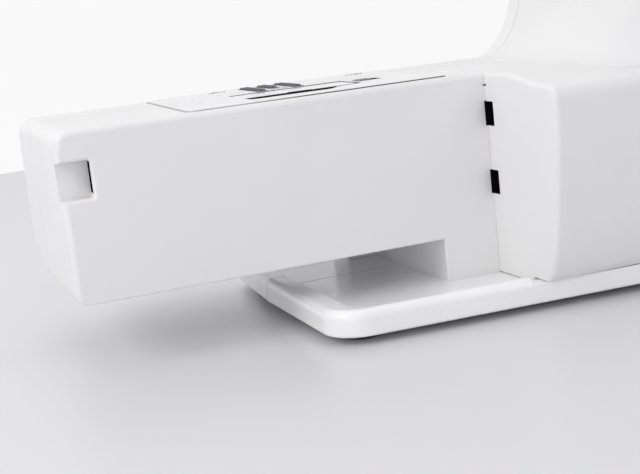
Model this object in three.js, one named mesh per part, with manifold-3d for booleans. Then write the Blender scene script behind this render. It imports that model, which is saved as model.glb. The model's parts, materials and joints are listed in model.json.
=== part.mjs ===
import * as THREE from 'three';
import { mergeVertices } from 'three/addons/utils/BufferGeometryUtils.js';
import Module from 'manifold-3d';

const wasm = await Module();
wasm.setup();

// ---------------------------------------------------------------- driving dimensions (mm)
// x runs along the free arm towards the body, y runs to the back, z is height over the table
const GAP = 0.3;
const ARM_L = 160;          // free end to step face
const ARM_X0 = -1.7;        // free end face
const ARM_D = 95;           // depth of the arm
const ARM_Z0 = 25;          // underside of the arm
const TOP = 85.4;           // top of the arm and bed
const LEG_X = 137.8;        // free side of the leg
const COL_X = 124;          // free side of the rear column
const COL_Y = 68;
const LEG_Y1 = 85.5;        // back of the leg
const FLOOR = 8.5;          // floor of the base tray
const BASE_Z0 = 3.0;
const RIM = 12.5;           // top of the base rim
const SEAT = 10.5;          // rim under the body
const BODY_X1 = 250;        // joint face
const BODY_Y1 = 96;
const PILLAR_TOP = 114;
const SPLIT = 57;           // seam between front and rear shells
const WALL = 2.4;
const BOBBIN = [97, 36];    // hook and bobbin axis
const SHAFT = [57.8, 45];   // lower shaft axis, y and z
const WIN = [74, 121, 16, 48.3];   // bobbin window in the needle plate

// ---------------------------------------------------------------- helpers
const cyc = {
  x: new THREE.Matrix4().set(0, 0, 1, 0, 1, 0, 0, 0, 0, 1, 0, 0, 0, 0, 0, 1), // (y,z,x)
  y: new THREE.Matrix4().set(0, 1, 0, 0, 0, 0, 1, 0, 1, 0, 0, 0, 0, 0, 0, 1), // (z,x,y)
  z: new THREE.Matrix4(),
};

function area(p) {
  let a = 0;
  for (let i = 0; i < p.length; i++) {
    const q = p[(i + 1) % p.length];
    a += p[i][0] * q[1] - q[0] * p[i][1];
  }
  return a / 2;
}

// polygon with rounded corners: [u, v, radius, segments]
function round(pts, seg = 4) {
  const out = [];
  const n = pts.length;
  for (let i = 0; i < n; i++) {
    const [x, y, r = 0, s = seg] = pts[i];
    if (!r) { out.push([x, y]); continue; }
    const a = pts[(i + n - 1) % n], b = pts[(i + 1) % n];
    let ax = a[0] - x, ay = a[1] - y, bx = b[0] - x, by = b[1] - y;
    const la = Math.hypot(ax, ay), lb = Math.hypot(bx, by);
    ax /= la; ay /= la; bx /= lb; by /= lb;
    const ang = Math.acos(Math.max(-1, Math.min(1, ax * bx + ay * by)));
    const t = r / Math.tan(ang / 2);
    const mx = ax + bx, my = ay + by, ml = Math.hypot(mx, my);
    const h = r / Math.sin(ang / 2);
    const cx = x + mx / ml * h, cy = y + my / ml * h;
    let a0 = Math.atan2(y + ay * t - cy, x + ax * t - cx);
    let a1 = Math.atan2(y + by * t - cy, x + bx * t - cx);
    let d = a1 - a0;
    while (d > Math.PI) d -= 2 * Math.PI;
    while (d < -Math.PI) d += 2 * Math.PI;
    for (let k = 0; k <= s; k++) out.push([cx + r * Math.cos(a0 + d * k / s), cy + r * Math.sin(a0 + d * k / s)]);
  }
  return out;
}

const circle = (cx, cy, r, n = 32, a0 = 0) =>
  Array.from({ length: n }, (_, i) => [cx + r * Math.cos(a0 + 2 * Math.PI * i / n), cy + r * Math.sin(a0 + 2 * Math.PI * i / n)]);

// u,v pairs are (y,z) for axis x, (z,x) for axis y, (x,y) for axis z
function prism(axis, pts, w0, w1, holes = []) {
  const ccw = p => (area(p) < 0 ? p.slice().reverse() : p);
  const shape = new THREE.Shape(ccw(pts).map(p => new THREE.Vector2(p[0], p[1])));
  for (const h of holes) shape.holes.push(new THREE.Path(ccw(h).slice().reverse().map(p => new THREE.Vector2(p[0], p[1]))));
  const g = new THREE.ExtrudeGeometry(shape, { depth: w1 - w0, bevelEnabled: false, steps: 1 });
  g.translate(0, 0, w0);
  g.applyMatrix4(cyc[axis]);
  return g;
}
const prismX = (p, a, b, h) => prism('x', p, a, b, h);
const prismY = (p, a, b, h) => prism('y', p.map(q => [q[1], q[0], ...q.slice(2)]), a, b, (h || []).map(c => c.map(q => [q[1], q[0]])));
const prismZ = (p, a, b, h) => prism('z', p, a, b, h);

function block(x0, x1, y0, y1, z0, z1) {
  const g = new THREE.BoxGeometry(x1 - x0, y1 - y0, z1 - z0);
  g.translate((x0 + x1) / 2, (y0 + y1) / 2, (z0 + z1) / 2);
  return g;
}

// closed solid through equally long closed rings of 3-D points, flat ends
function rings(list) {
  const n = list[0].length, pos = [], idx = [];
  for (const r of list) for (const p of r) pos.push(...p);
  const m = list.length;
  for (let k = 0; k < m - 1; k++) for (let i = 0; i < n; i++) {
    const j = (i + 1) % n, a = k * n + i, b = k * n + j, c = (k + 1) * n + i, d = (k + 1) * n + j;
    idx.push(a, b, d, a, d, c);
  }
  const cap = r => THREE.ShapeUtils.triangulateShape(r.map(p => new THREE.Vector2(p[0], p[1])), []);
  for (const t of cap(list[0])) idx.push(t[2], t[1], t[0]);
  for (const t of cap(list[m - 1])) idx.push((m - 1) * n + t[0], (m - 1) * n + t[1], (m - 1) * n + t[2]);
  const g = new THREE.BufferGeometry();
  g.setAttribute('position', new THREE.Float32BufferAttribute(pos, 3));
  g.setIndex(idx);
  return g;
}

// turned solid about an axis through (a, b): profile of [radius, height]
function turned(axis, a, b, profile, n = 36) {
  const g = new THREE.LatheGeometry(profile.map(p => new THREE.Vector2(p[0], p[1])), n);
  g.applyMatrix4(new THREE.Matrix4().makeRotationX(Math.PI / 2)); // height along z
  if (axis === 'x') { g.applyMatrix4(cyc.x); g.translate(0, a, b); }
  if (axis === 'y') { g.applyMatrix4(cyc.y); g.translate(a, 0, b); }
  if (axis === 'z') g.translate(a, b, 0);
  return g;
}

function man(g) {
  let s = g.clone();
  for (const k of Object.keys(s.attributes)) if (k !== 'position') s.deleteAttribute(k);
  s = mergeVertices(s, 1e-4);
  const tv = Array.from(s.index.array), pos = s.attributes.position;
  const keep = [];
  for (let i = 0; i < tv.length; i += 3) {
    if (tv[i] !== tv[i + 1] && tv[i + 1] !== tv[i + 2] && tv[i] !== tv[i + 2]) keep.push(tv[i], tv[i + 1], tv[i + 2]);
  }
  const mesh = new wasm.Mesh({ numProp: 3, vertProperties: new Float32Array(pos.array), triVerts: new Uint32Array(keep) });
  mesh.merge();
  let m = new wasm.Manifold(mesh);
  return m;
}
function geo(m) {
  const r = m.getMesh();
  const pos = new Float32Array(r.numVert * 3);
  for (let i = 0; i < r.numVert; i++) for (let k = 0; k < 3; k++) pos[3 * i + k] = r.vertProperties[i * r.numProp + k];
  const g = new THREE.BufferGeometry();
  g.setAttribute('position', new THREE.BufferAttribute(pos, 3));
  g.setIndex(Array.from(r.triVerts));
  return g;
}
const M = g => (g.isBufferGeometry ? man(g) : g);
const add = (...l) => l.map(M).reduce((a, b) => a.add(b));
const sub = (a, ...l) => l.map(M).reduce((p, q) => p.subtract(q), M(a));
const cut = (...l) => l.map(M).reduce((a, b) => a.intersect(b));

const group = new THREE.Group();
group.name = 'free_arm_bobbin_unit';
function node(name, g, color, roughness, metalness, parent = group) {
  let q = g.isBufferGeometry ? geo(man(g)) : geo(g);
  q = q.toNonIndexed();
  q.computeVertexNormals();
  const mat = new THREE.MeshStandardMaterial({ color, roughness, metalness });
  mat.name = name + '_material';
  const mesh = new THREE.Mesh(q, mat);
  mesh.name = name;
  parent.add(mesh);
  return mesh;
}
const WHITE = 0xeeedec, STEEL = 0xb9b9bb, DARK = 0x141416, CAST = 0xa7a9ab;

// ---------------------------------------------------------------- outer forms
// each takes an inset so the same form gives the outside and the cavity
function armForm(o, x1 = ARM_L - 0.15) {
  const side = round([
    [0 + o, ARM_Z0 + o, Math.max(0.3, 0.6 - o)],
    [0 + o, TOP - o, Math.max(0.3, 2.2 - o)],
    [86 - o, TOP - o, Math.max(1, 9 - o), 5],
    [ARM_D - o, 63, 40, 4],
    [ARM_D - 3 - o, 37, 20, 3],
    [83 - o, ARM_Z0 + o, Math.max(1, 8 - o), 4],
  ]);
  const plan = round([
    [ARM_X0 + o, 0 + o, Math.max(0.3, 2.2 - o)],
    [x1, 0 + o], [x1, ARM_D + 5],
    [ARM_X0 + 0.3 + o, ARM_D + 5],
    [ARM_X0 + 0.3 + o, ARM_D - 9],
  ]);
  const rearEnd = round([
    [ARM_X0 + o, -5], [x1, -5], [x1, ARM_D - o], [ARM_X0 + o, ARM_D - o, 9 - o, 5],
  ]);
  const face = round([
    [ARM_X0 + o, ARM_Z0 + o, Math.max(0.5, 2.4 - o)],
    [x1, ARM_Z0 + o], [x1, TOP - o],
    [ARM_X0 + o, TOP - o, Math.max(0.5, 3.4 - o)],
  ]);
  return cut(prismX(side, ARM_X0 - 3, x1), prismZ(plan, 0, 120), prismZ(rearEnd, 0, 120), prismY(face, -5, 120));
}
function legForm(o, x1 = ARM_L - 0.15, zlow = FLOOR + GAP) {
  return add(
    block(LEG_X + o, x1, 0 + o, LEG_Y1 - o, zlow, ARM_Z0 + 8),
    block(COL_X + o, x1, COL_Y + o, LEG_Y1 - o, zlow, ARM_Z0 + 8),
  );
}
const bodySide = o => round([
  [-35.8 + o, FLOOR + GAP],
  [-40.2 + o, 15.5], [-43.7 + o, 27], [-47.2 + o, 47.6], [-48.9 + o, 63],
  [-49.9 + o, 80.9 - o, Math.max(0.8, 4.5 - o), 5],
  [-31 + o * 0.3, 83.4 - o, 25, 3], [-18, TOP - o, 25, 3],
  [86 - o, TOP - o, Math.max(1, 9 - o), 5],
  [BODY_Y1 - o, 66, 30, 3], [BODY_Y1 - 1 - o, FLOOR + GAP],
]);
function bodyForm(o, x0 = ARM_L + 0.15, x1 = BODY_X1) {
  const low = o > 0 ? FLOOR - 5 : FLOOR + GAP;
  const side = bodySide(o);
  let s = prismX(side, x0 + (o > 0 ? 0 : 0), x1);
  if (o > 0) s = add(s, prismX([[-35.8 + o, low], [-35.8 + o, FLOOR + 1], [BODY_Y1 - 1 - o, FLOOR + 1], [BODY_Y1 - 1 - o, low]], x0, x1));
  // front part carries the rounded step edge
  const front = cut(s,
    prismZ([[x0 + o, -60], [x1, -60], [x1, 2.6], [x0 + o, 2.6]], -10, 130),
    prismY(round([[x0 + o, -10], [x1, -10], [x1, TOP - o + 0.0], [x0 + o, TOP - o, Math.max(0.5, 2.0 - o), 3]]), -60, 2.6));
  const rear = cut(s, block(o > 0 ? x0 - 5 : x0, x1, o > 0 ? 2.4 : -0.0, 200, -10, 130));
  return add(front, rear);
}
// how far the bed top lies under TOP at a given y
function topDrop(y) {
  if (y < -18) return 0.1 + (-18 - y) * 0.145;
  if (y > 78) return Math.min(4, (y - 78) * (y - 78) * 0.06 + 0.3);
  return 0;
}
// flared root of the pillar, a stack of rings
function pillarForm(o, x1 = BODY_X1) {
  const list = [];
  const zs = [70, 84.2, 85.6, 87.5, 90.5, 95, 101, 108, PILLAR_TOP + (o > 0 ? 2 : 0)];
  for (const z of zs) {
    const t = Math.min(1, Math.max(0, (z - 84.2) / (PILLAR_TOP - 84.2)));
    const f = Math.pow(1 - t, 2.6);
    const xl = 211 - 24 * f + 3 * t + o;
    const yf = -22 - 15 * f + 4 * t + o;
    const yr = 82 - o;
    const p = round([[xl, yf, Math.max(6, 26 - o), 6], [x1, yf], [x1, yr], [xl, yr, Math.max(6, 22 - o), 6]]);
    list.push(p.map(q => [q[0], q[1], z - f * topDrop(q[1])]));
  }
  return rings(list);
}

const frontHalf = block(-20, 300, -100, SPLIT - GAP / 2, -10, 200);
const rearHalf = block(-20, 300, SPLIT + GAP / 2, 200, -10, 200);

// ---------------------------------------------------------------- arm shells
const NOTCH = { x: 9.3, y: 6.5, z0: 61.6, z1: 74.7 };
const plateCut = prismZ(round([[46, 4, 3], [147.5, 4, 3], [147.5, 83.3, 6], [49, 83.3, 6]]), 70, 100);
const bottomCut = prismZ(round([[7, 7, 4], [131, 7, 4], [131, 64, 4], [118, 64, 2], [118, 82, 4], [7, 82, 4]]), 10, ARM_Z0 + 4);
const armOuter = add(armForm(0), legForm(0));
const armCavity = add(
  armForm(WALL, ARM_L + 8),
  legForm(WALL, ARM_L + 8, 0),
);
const pocket = cut(armForm(0), block(-5, NOTCH.x + WALL, -5, NOTCH.y + WALL, NOTCH.z0 - WALL, NOTCH.z1 + WALL));
const notchCut = prismX(round([[-3, NOTCH.z0], [NOTCH.y, NOTCH.z0, 0.8], [NOTCH.y, NOTCH.z1, 0.8], [-3, NOTCH.z1]]), -6, NOTCH.x);
const notchSlot = block(NOTCH.x - 1, NOTCH.x + WALL + 1, 1.2, 5.9, 62.9, 74.0);
let armShell = sub(armOuter, sub(armCavity, pocket), plateCut, bottomCut, notchCut, notchSlot,
  block(ARM_L - 0.75, ARM_L + 2, -1, 1.1, 65.3, 74.7), block(ARM_L - 0.75, ARM_L + 2, -1, 1.1, 39.3, 48.5));
// screw bosses for the underside cover
node('arm_front_shell', cut(armShell, frontHalf), WHITE, 0.42, 0);
const leverSlot = block(58, 80, 80, 100, 52, 58);
node('arm_rear_shell', sub(cut(armShell, rearHalf), leverSlot), WHITE, 0.42, 0);
node('arm_bottom_cover', sub(
  prismZ(round([[7 + GAP, 7 + GAP, 4], [131 - GAP, 7 + GAP, 4], [131 - GAP, 64 - GAP, 4], [118 - GAP, 64 - GAP, 2], [118 - GAP, 82 - GAP, 4], [7 + GAP, 82 - GAP, 4]]), ARM_Z0 + 0.2, ARM_Z0 + 2.4),
  turned('z', 20, 44, [[0, ARM_Z0 - 1], [3.2, ARM_Z0 - 1], [3.2, ARM_Z0 + 1.4], [1.7, ARM_Z0 + 1.4], [1.7, ARM_Z0 + 5], [0, ARM_Z0 + 5]], 20),
  turned('z', 110, 44, [[0, ARM_Z0 - 1], [3.2, ARM_Z0 - 1], [3.2, ARM_Z0 + 1.4], [1.7, ARM_Z0 + 1.4], [1.7, ARM_Z0 + 5], [0, ARM_Z0 + 5]], 20),
), 0xdededf, 0.5, 0);

// ---------------------------------------------------------------- body shells with the pillar root
const bodyOuter = add(bodyForm(0), pillarForm(0));
const bodyCavity = add(bodyForm(2.6, ARM_L + 0.15, BODY_X1 + 5), cut(pillarForm(2.6, BODY_X1 + 5), block(0, 300, -100, 200, 75, 200)));
const rimClear = block(150, 260, -60, -26, 0, SEAT + GAP);
const slotCut = z0 => block(ARM_L - 2, ARM_L + 6, -5.2, 0.0, z0, z0 + 9.2);
let bodyShell = sub(bodyOuter, bodyCavity, rimClear, slotCut(65.3), slotCut(39.3));
node('body_front_shell', cut(bodyShell, frontHalf), WHITE, 0.42, 0);
node('body_rear_shell', cut(bodyShell, rearHalf), WHITE, 0.42, 0);

// ---------------------------------------------------------------- base
function basePlan(i, extra = 0) {
  return round([
    [79 + i, -30.9 + i, Math.max(2, 14 - i), 7],
    [BODY_X1, -40.2 + i], [BODY_X1, BODY_Y1 - i],
    [82.6 + i, BODY_Y1 - i, Math.max(2, 6 - i), 6],
    [79 + i, 44],
  ]);
}
const baseOuter = rings([[BASE_Z0, 1.2], [BASE_Z0 + 1.2, 0], [RIM - 3, 0.1], [RIM - 1.4, 0.5], [RIM - 0.4, 1.5], [RIM, 3]]
  .map(([z, i]) => basePlan(i).map(p => [p[0], p[1], z])));
const wellPlan = (i) => round([
  [89 + i, -25 + i, 6, 6], [BODY_X1 + 5, -33.8 + i], [BODY_X1 + 5, 88 - i], [90.5 + i, 88 - i, 6, 6], [88 + i, 40],
]);
const well = rings([[FLOOR, 1.6], [FLOOR + 0.8, 0.6], [RIM - 1, 0], [RIM + 1, -1]].map(([z, i]) => wellPlan(i).map(p => [p[0], p[1], z])));
const hollow = prismZ(round([[86, -22, 8], [246, -31, 2], [246, 89, 2], [90, 89, 8], [86, 44]]), 0, FLOOR - 2.4);
const footX = [[94, -16], [94, 80], [234, -22], [234, 80]];
const bossRing = ([x, y]) => turned('z', x, y, [[0, BASE_Z0], [9.5, BASE_Z0], [9.5, FLOOR - 1], [0, FLOOR - 1]], 24);
const screwX = [[114, -14], [214, -20], [114, 80], [214, 80]];
const bossScrew = ([x, y]) => turned('z', x, y, [[0, BASE_Z0 + 0.6], [5.5, BASE_Z0 + 0.6], [5.5, FLOOR - 1], [0, FLOOR - 1]], 20);
const footHole = ([x, y]) => turned('z', x, y, [[0, 0], [2.6, 0], [2.6, 6.4], [0, 6.4]], 16);
const screwHole = ([x, y]) => turned('z', x, y, [[0, 0], [1.9, 0], [1.9, 6.6], [0, 6.6]], 16);
let base = sub(baseOuter, well, sub(hollow, ...footX.map(bossRing), ...screwX.map(bossScrew)),
  block(157, 260, -60, -28, SEAT, 40),
  block(157, 260, 80, 100, SEAT, 40), block(BODY_X1 - 3.6, 260, -60, 100, FLOOR, 40),
  ...footX.map(footHole), ...screwX.map(screwHole));
base = sub(base, block(154, 260, 80, 100, FLOOR, 40));
const BSPLIT = 44;
node('base_front', cut(base, block(0, 300, -100, BSPLIT - GAP / 2, 0, 60)), 0xf1f1f2, 0.3, 0);
node('base_rear', cut(base, block(0, 300, BSPLIT + GAP / 2, 200, 0, 60)), 0xf1f1f2, 0.3, 0);
footX.forEach(([x, y], i) => node('foot_' + (i + 1), turned('z', x, y,
  [[0, 0], [6.4, 0], [7.4, 0.8], [7.4, 2.7], [2.3, 2.7], [2.3, 5.6], [0, 5.6]], 28), 0x2b2b2d, 0.85, 0));
screwX.forEach(([x, y], i) => node('base_screw_' + (i + 1), sub(turned('z', x, y,
  [[0, 1.5], [2.6, 1.5], [3.2, 2.1], [3.2, 3.3], [1.5, 3.3], [1.5, 6.2], [0, 6.2]], 20),
  block(x - 1.7, x + 1.7, y - 0.35, y + 0.35, 0, 2.3), block(x - 0.35, x + 0.35, y - 1.7, y + 1.7, 0, 2.3)), STEEL, 0.35, 0.9));

// ---------------------------------------------------------------- latch sockets for the accessory box
function socketX(x0, x1, y0, y1, z0, z1, t = 1.2) {
  return sub(block(x0, x1, y0, y1, z0, z1), block(x0 - 1, x1 - t, y0 + t, y1 - t, z0 + t, z1 - t));
}
node('latch_socket_left', sub(add(
  block(NOTCH.x + WALL + GAP, 20, 0.1 + WALL, 8.6, 61.3, 75.6),
  block(NOTCH.x + 0.2, NOTCH.x + WALL + 1, 1.2 + GAP, 5.9 - GAP, 62.9 + GAP, 74.0 - GAP)),
  block(NOTCH.x - 1, 18.8, 1.2 + GAP + 0.6, 5.9 - GAP - 0.6, 62.9 + GAP + 0.6, 74.0 - GAP - 0.6),
  block(NOTCH.x + WALL + GAP + 1.2, 18.8, 3.7, 7.4, 62.5, 74.4)), DARK, 0.8, 0);
node('latch_socket_upper', socketX(ARM_L + 0.15 + 2.6 + GAP, 174, -7.0, 1.2, 63.6, 76.2), DARK, 0.8, 0);
node('latch_socket_lower', socketX(ARM_L + 0.15 + 2.6 + GAP, 174, -7.0, 1.2, 37.6, 50.2), DARK, 0.8, 0);

// ---------------------------------------------------------------- joint plates
{
  const inner = add(bodyForm(2.6 + GAP, ARM_L + 8, BODY_X1 + 5), cut(pillarForm(2.6 + GAP, BODY_X1 + 5), block(0, 300, -100, 200, 75, 200)));
  const plate = cut(inner, block(BODY_X1 - 3, BODY_X1, -100, 200, FLOOR + GAP, PILLAR_TOP));
  node('joint_plate', sub(plate, block(BODY_X1 - 10, BODY_X1 + 5, -60, -28, 0, SEAT + GAP)), CAST, 0.5, 0.8);
  node('pillar_plate', cut(inner, block(180, BODY_X1 - 3 - GAP, -100, 200, PILLAR_TOP - 3, PILLAR_TOP)), CAST, 0.5, 0.8);
}

// ---------------------------------------------------------------- die-cast bed frame
const boreX = (y, z, r, x0, x1, n = 28) => turned('x', y, z, [[0, x0], [r, x0], [r, x1], [0, x1]], n);
const boreZ = (x, y, r, z0, z1, n = 28) => turned('z', x, y, [[0, z0], [r, z0], [r, z1], [0, z1]], n);
const boreY = (x, z, r, y0, y1, n = 20) => turned('y', x, z, [[0, y0], [r, y0], [r, y1], [0, y1]], n);
const POST = [[55, 12], [138, 12], [78, 76.5], [138, 75]];
let frame = add(
  block(6, 240, 10, 81, 30, 33.5),
  block(6, 240, 77.5, 81, 30, 72),
  block(6, 240, 10, 13, 30, 44),
  block(236, BODY_X1 - 3 - GAP, -20, 81, 14, 78),
  block(146, 150, 10, 81, 30, 60),
  block(63, 76, 46, 81, 30, 55), block(148, 161, 46, 81, 30, 55),
  block(84, 110, 24, 43, 54, 61), block(84, 87.5, 24, 43, 30, 61), block(106.5, 110, 24, 43, 30, 61),
  block(88, 106, 24, 43, 30, 37.5),
  block(82, 112, 79.2, 84, 60, 76), block(82, 112, 77.5, 84, 60, 63.5),
  ...POST.map(([x, y]) => boreZ(x, y, 4.2, 30, 83.2, 20)),
  block(112, 122, 10, 16, 30, 68), block(80, 84, 10, 16, 30, 50),
);
frame = sub(frame,
  boreX(...SHAFT, 6.4, 60, 80), boreX(...SHAFT, 6.4, 144, 165), boreX(...SHAFT, 9, 230, 260),
  boreZ(...BOBBIN, 6.4, 50, 65), boreZ(...BOBBIN, 6.4, 20, 40),
  boreX(...SHAFT, 15.2, 88, 105.8),
  boreY(87, 68, 2.3, 70, 82.0), boreY(107, 68, 2.3, 70, 82.0),
  ...POST.slice(2).map(([x, y]) => boreZ(x, y, 1.7, 70, 90, 16)),
  block(91.5, 102.5, 70, 79, 58, 90));
node('bed_frame', frame, CAST, 0.55, 0.75);
node('shaft_bush_left', turned('x', ...SHAFT, [[4.3, 62], [6.1, 62], [6.1, 77], [4.3, 77], [4.3, 62]], 32), 0xb08d4f, 0.4, 0.9);
node('shaft_bush_right', turned('x', ...SHAFT, [[4.3, 147], [6.1, 147], [6.1, 162], [4.3, 162], [4.3, 147]], 32), 0xb08d4f, 0.4, 0.9);
node('hook_bush_upper', turned('z', ...BOBBIN, [[4.3, 53.6], [6.1, 53.6], [6.1, 61.4], [4.3, 61.4], [4.3, 53.6]], 32), 0xb08d4f, 0.4, 0.9);
node('hook_bush_lower', turned('z', ...BOBBIN, [[4.3, 30], [6.1, 30], [6.1, 37.8], [4.3, 37.8], [4.3, 30]], 32), 0xb08d4f, 0.4, 0.9);
node('feed_rod_left', turned('y', 87, 68, [[0, 57.8], [1.7, 57.8], [2.0, 58.1], [2.0, 81.7], [0, 81.7]], 20), STEEL, 0.25, 1);
node('feed_rod_right', turned('y', 107, 68, [[0, 57.8], [1.7, 57.8], [2.0, 58.1], [2.0, 81.7], [0, 81.7]], 20), STEEL, 0.25, 1);

// ---------------------------------------------------------------- needle plate, its screws, the cover and its latch
let needlePlate = prismZ(round([[46 + GAP, 4 + GAP, 3], [147.5 - GAP, 4 + GAP, 3], [147.5 - GAP, 83.3 - GAP, 6], [49 + GAP, 83.3 - GAP, 6]]), 83.5, 85.6);
needlePlate = sub(needlePlate,
  prismZ(round([[WIN[0], WIN[2], 3], [WIN[1], WIN[2] + 5, 6], [WIN[1], WIN[3], 1.5], [WIN[0], WIN[3], 1.5]]), 80, 90),
  block(87.2, 91.8, 49.6, 79.2, 80, 90), block(102.2, 106.8, 49.6, 79.2, 80, 90), block(94.7, 99.3, 57.6, 79.2, 80, 90),
  prismZ(round([[93.2, 52.4, 0.9], [100.8, 52.4, 0.9], [100.8, 54.6, 0.9], [93.2, 54.6, 0.9]], 3), 80, 90),
  block(122.6, 133, 33, 41, 80, 90),
  ...POST.slice(2).map(([x, y]) => turned('z', x, y, [[0, 80], [1.8, 80], [1.8, 84.2], [3.6, 84.2], [3.6, 90], [0, 90]], 24)));
node('needle_plate', needlePlate, 0xc9c9ca, 0.28, 1);
POST.slice(2).forEach(([x, y], i) => node('plate_screw_' + (i + 1), sub(turned('z', x, y,
  [[0, 74], [1.4, 74], [1.4, 84.5], [3.2, 84.5], [3.2, 85.3], [2.7, 85.9], [0, 85.9]], 24), block(x - 4, x + 4, y - 0.45, y + 0.45, 85.2, 90)), STEEL, 0.3, 1));
const bobbinCover = add(
  prismZ(round([[WIN[0] + GAP, 29, 2], [WIN[1] - GAP, 29, 2], [WIN[1] - GAP, WIN[3] - 0.7, 1.0], [WIN[0] + GAP, WIN[3] - 0.7, 1.0]]), 83.9, 85.5),
);
node('bobbin_cover', sub(bobbinCover, prismZ(round([[92, 27, 0], [102, 27, 0], [102, 30.4, 1], [92, 30.4, 1]]), 80, 90)), 0xe9ecee, 0.1, 0);
node('cover_latch', add(block(122.9, 129.4, 33.3, 40.7, 83.7, 85.5), block(123.6, 128.7, 34.2, 39.8, 85.2, 86.3)), 0x8a8c90, 0.5, 0);

// ---------------------------------------------------------------- hook, bobbin case, bobbin
const [BX, BY] = BOBBIN;
const hookCup = turned('z', BX, BY, [[0, 62], [19.4, 62], [19.4, 74.6], [16.6, 74.6], [16.6, 64.6], [0, 64.6]], 48);
const beak = prismZ([[BX + 14, BY + 12], [BX + 19.2, BY + 4], [BX + 19.6, BY + 9], [BX + 10, BY + 17.4]], 70.2, 72.6);
node('hook', sub(add(hookCup, beak),
  prismZ([[BX + 14, BY + 4], [BX + 24, BY - 2], [BX + 24, BY + 5], [BX + 15, BY + 8]], 68, 80),
  prismZ([[BX - 30, BY - 8], [BX - 15, BY - 6], [BX - 15, BY + 6], [BX - 30, BY + 8]], 68, 80),
  boreZ(BX, BY, 3.9, 60, 66, 24)), STEEL, 0.22, 1);
node('hook_shaft', turned('z', BX, BY, [[0, 30.4], [3.4, 30.4], [4.0, 31], [4.0, 61.7], [3.6, 61.7], [3.6, 64.4], [0, 64.4]], 32), STEEL, 0.3, 1);
function gearPts(cx, cy, n, rt, rr, a0 = 0) {
  const p = [];
  for (let i = 0; i < n; i++) {
    const a = a0 + 2 * Math.PI * i / n, w = 2 * Math.PI / n;
    for (const [f, r] of [[-0.30, rr], [-0.14, rt], [0.14, rt], [0.30, rr]]) p.push([cx + r * Math.cos(a + f * w), cy + r * Math.sin(a + f * w)]);
  }
  return p;
}
node('hook_pinion', sub(prismZ(gearPts(BX, BY, 14, 7.2, 5.7), 39, 51), boreZ(BX, BY, 4.3, 30, 60, 32)), 0xd8d2c0, 0.5, 0);
node('drive_gear', sub(prismX(gearPts(SHAFT[0], SHAFT[1], 28, 14.0, 12.5), 91, 103), boreX(...SHAFT, 4.3, 80, 110, 32)), 0xd8d2c0, 0.5, 0);
node('lower_shaft', turned('x', ...SHAFT, [[0, 56], [3.5, 56], [4.0, 56.5], [4.0, 234.5], [3.5, 235], [0, 235]], 32), STEEL, 0.25, 1);
node('shaft_collar', sub(boreX(...SHAFT, 7.4, 77.4, 82.4, 32), boreX(...SHAFT, 4.3, 70, 90, 32)), STEEL, 0.3, 1);
node('feed_cam', sub(boreX(SHAFT[0] + 1.4, SHAFT[1], 8.4, 116, 124, 36), boreX(...SHAFT, 4.3, 110, 130, 32)), STEEL, 0.3, 1);
node('timing_pulley', sub(add(prismX(gearPts(SHAFT[0], SHAFT[1], 20, 9.9, 8.9), 215, 225),
  boreX(...SHAFT, 11.0, 213.6, 215, 36), boreX(...SHAFT, 11.0, 225, 226.4, 36)), boreX(...SHAFT, 4.3, 200, 232, 32)), 0x3a3b3e, 0.55, 0);

let caseSolid = turned('z', BX, BY, [[0, 64.9], [13.6, 64.9], [14.6, 66], [14.6, 75.2], [18.6, 75.2], [18.6, 76.8], [11.6, 76.8], [11.6, 66.5], [0, 66.5]], 48);
caseSolid = add(caseSolid, boreZ(BX, BY, 2.7, 66.0, 74.5, 24),
  prismZ([[BX + 14.2, BY - 18.4], [BX + 19.2, BY - 14.2], [BX + 15.8, BY - 9.8], [BX + 10.6, BY - 13.9]], 75.2, 76.8));
caseSolid = sub(caseSolid, prismZ([[BX - 20, BY - 2.2], [BX - 10, BY - 1.4], [BX - 10, BY + 1.4], [BX - 20, BY + 2.2]], 72, 80),
  turned('z', BX + 4, BY - 14.6, [[0, 70], [1.2, 70], [1.2, 90], [0, 90]], 16));
node('bobbin_case', caseSolid, DARK, 0.45, 0);
const arc = (r0, r1, a0, a1, n) => {
  const p = [];
  for (let i = 0; i <= n; i++) { const a = a0 + (a1 - a0) * i / n; p.push([BX + r1 * Math.cos(a), BY + r1 * Math.sin(a)]); }
  for (let i = n; i >= 0; i--) { const a = a0 + (a1 - a0) * i / n; p.push([BX + r0 * Math.cos(a), BY + r0 * Math.sin(a)]); }
  return p;
};
node('tension_spring', sub(prismZ(arc(13.0, 16.6, Math.PI * 1.18, Math.PI * 1.66, 10), 77.1, 77.5),
  turned('z', BX + 4, BY - 14.6, [[0, 70], [1.2, 70], [1.2, 90], [0, 90]], 16)), STEEL, 0.25, 1);
node('tension_screw', sub(turned('z', BX + 4, BY - 14.6, [[0, 72.5], [0.9, 72.5], [0.9, 77.8], [1.9, 77.8], [1.9, 78.7], [0, 78.7]], 18),
  block(BX, BX + 8, BY - 14.6 - 0.25, BY - 14.6 + 0.25, 78.3, 80)), STEEL, 0.3, 1);
node('case_stopper', add(block(114.2, 121, 10.6, 15.6, 68.3, 70.4), block(117.2, 121, 10.6, 15.6, 68.3, 79.4),
  block(117.2, 121, 10.6, 24, 77.4, 79.4)), STEEL, 0.35, 0.9);
node('bobbin', turned('z', BX, BY, [[3.0, 66.8], [10.2, 66.8], [10.2, 67.8], [4.7, 67.8], [4.7, 76.6], [10.2, 76.6], [10.2, 77.6], [3.0, 77.6], [3.0, 66.8]], 40), 0xe6eaec, 0.12, 0);
node('bobbin_thread', turned('z', BX, BY, [[5.0, 68.1], [9.3, 68.1], [9.3, 76.3], [5.0, 76.3], [5.0, 68.1]], 40), 0xd9d6d0, 0.9, 0);

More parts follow.
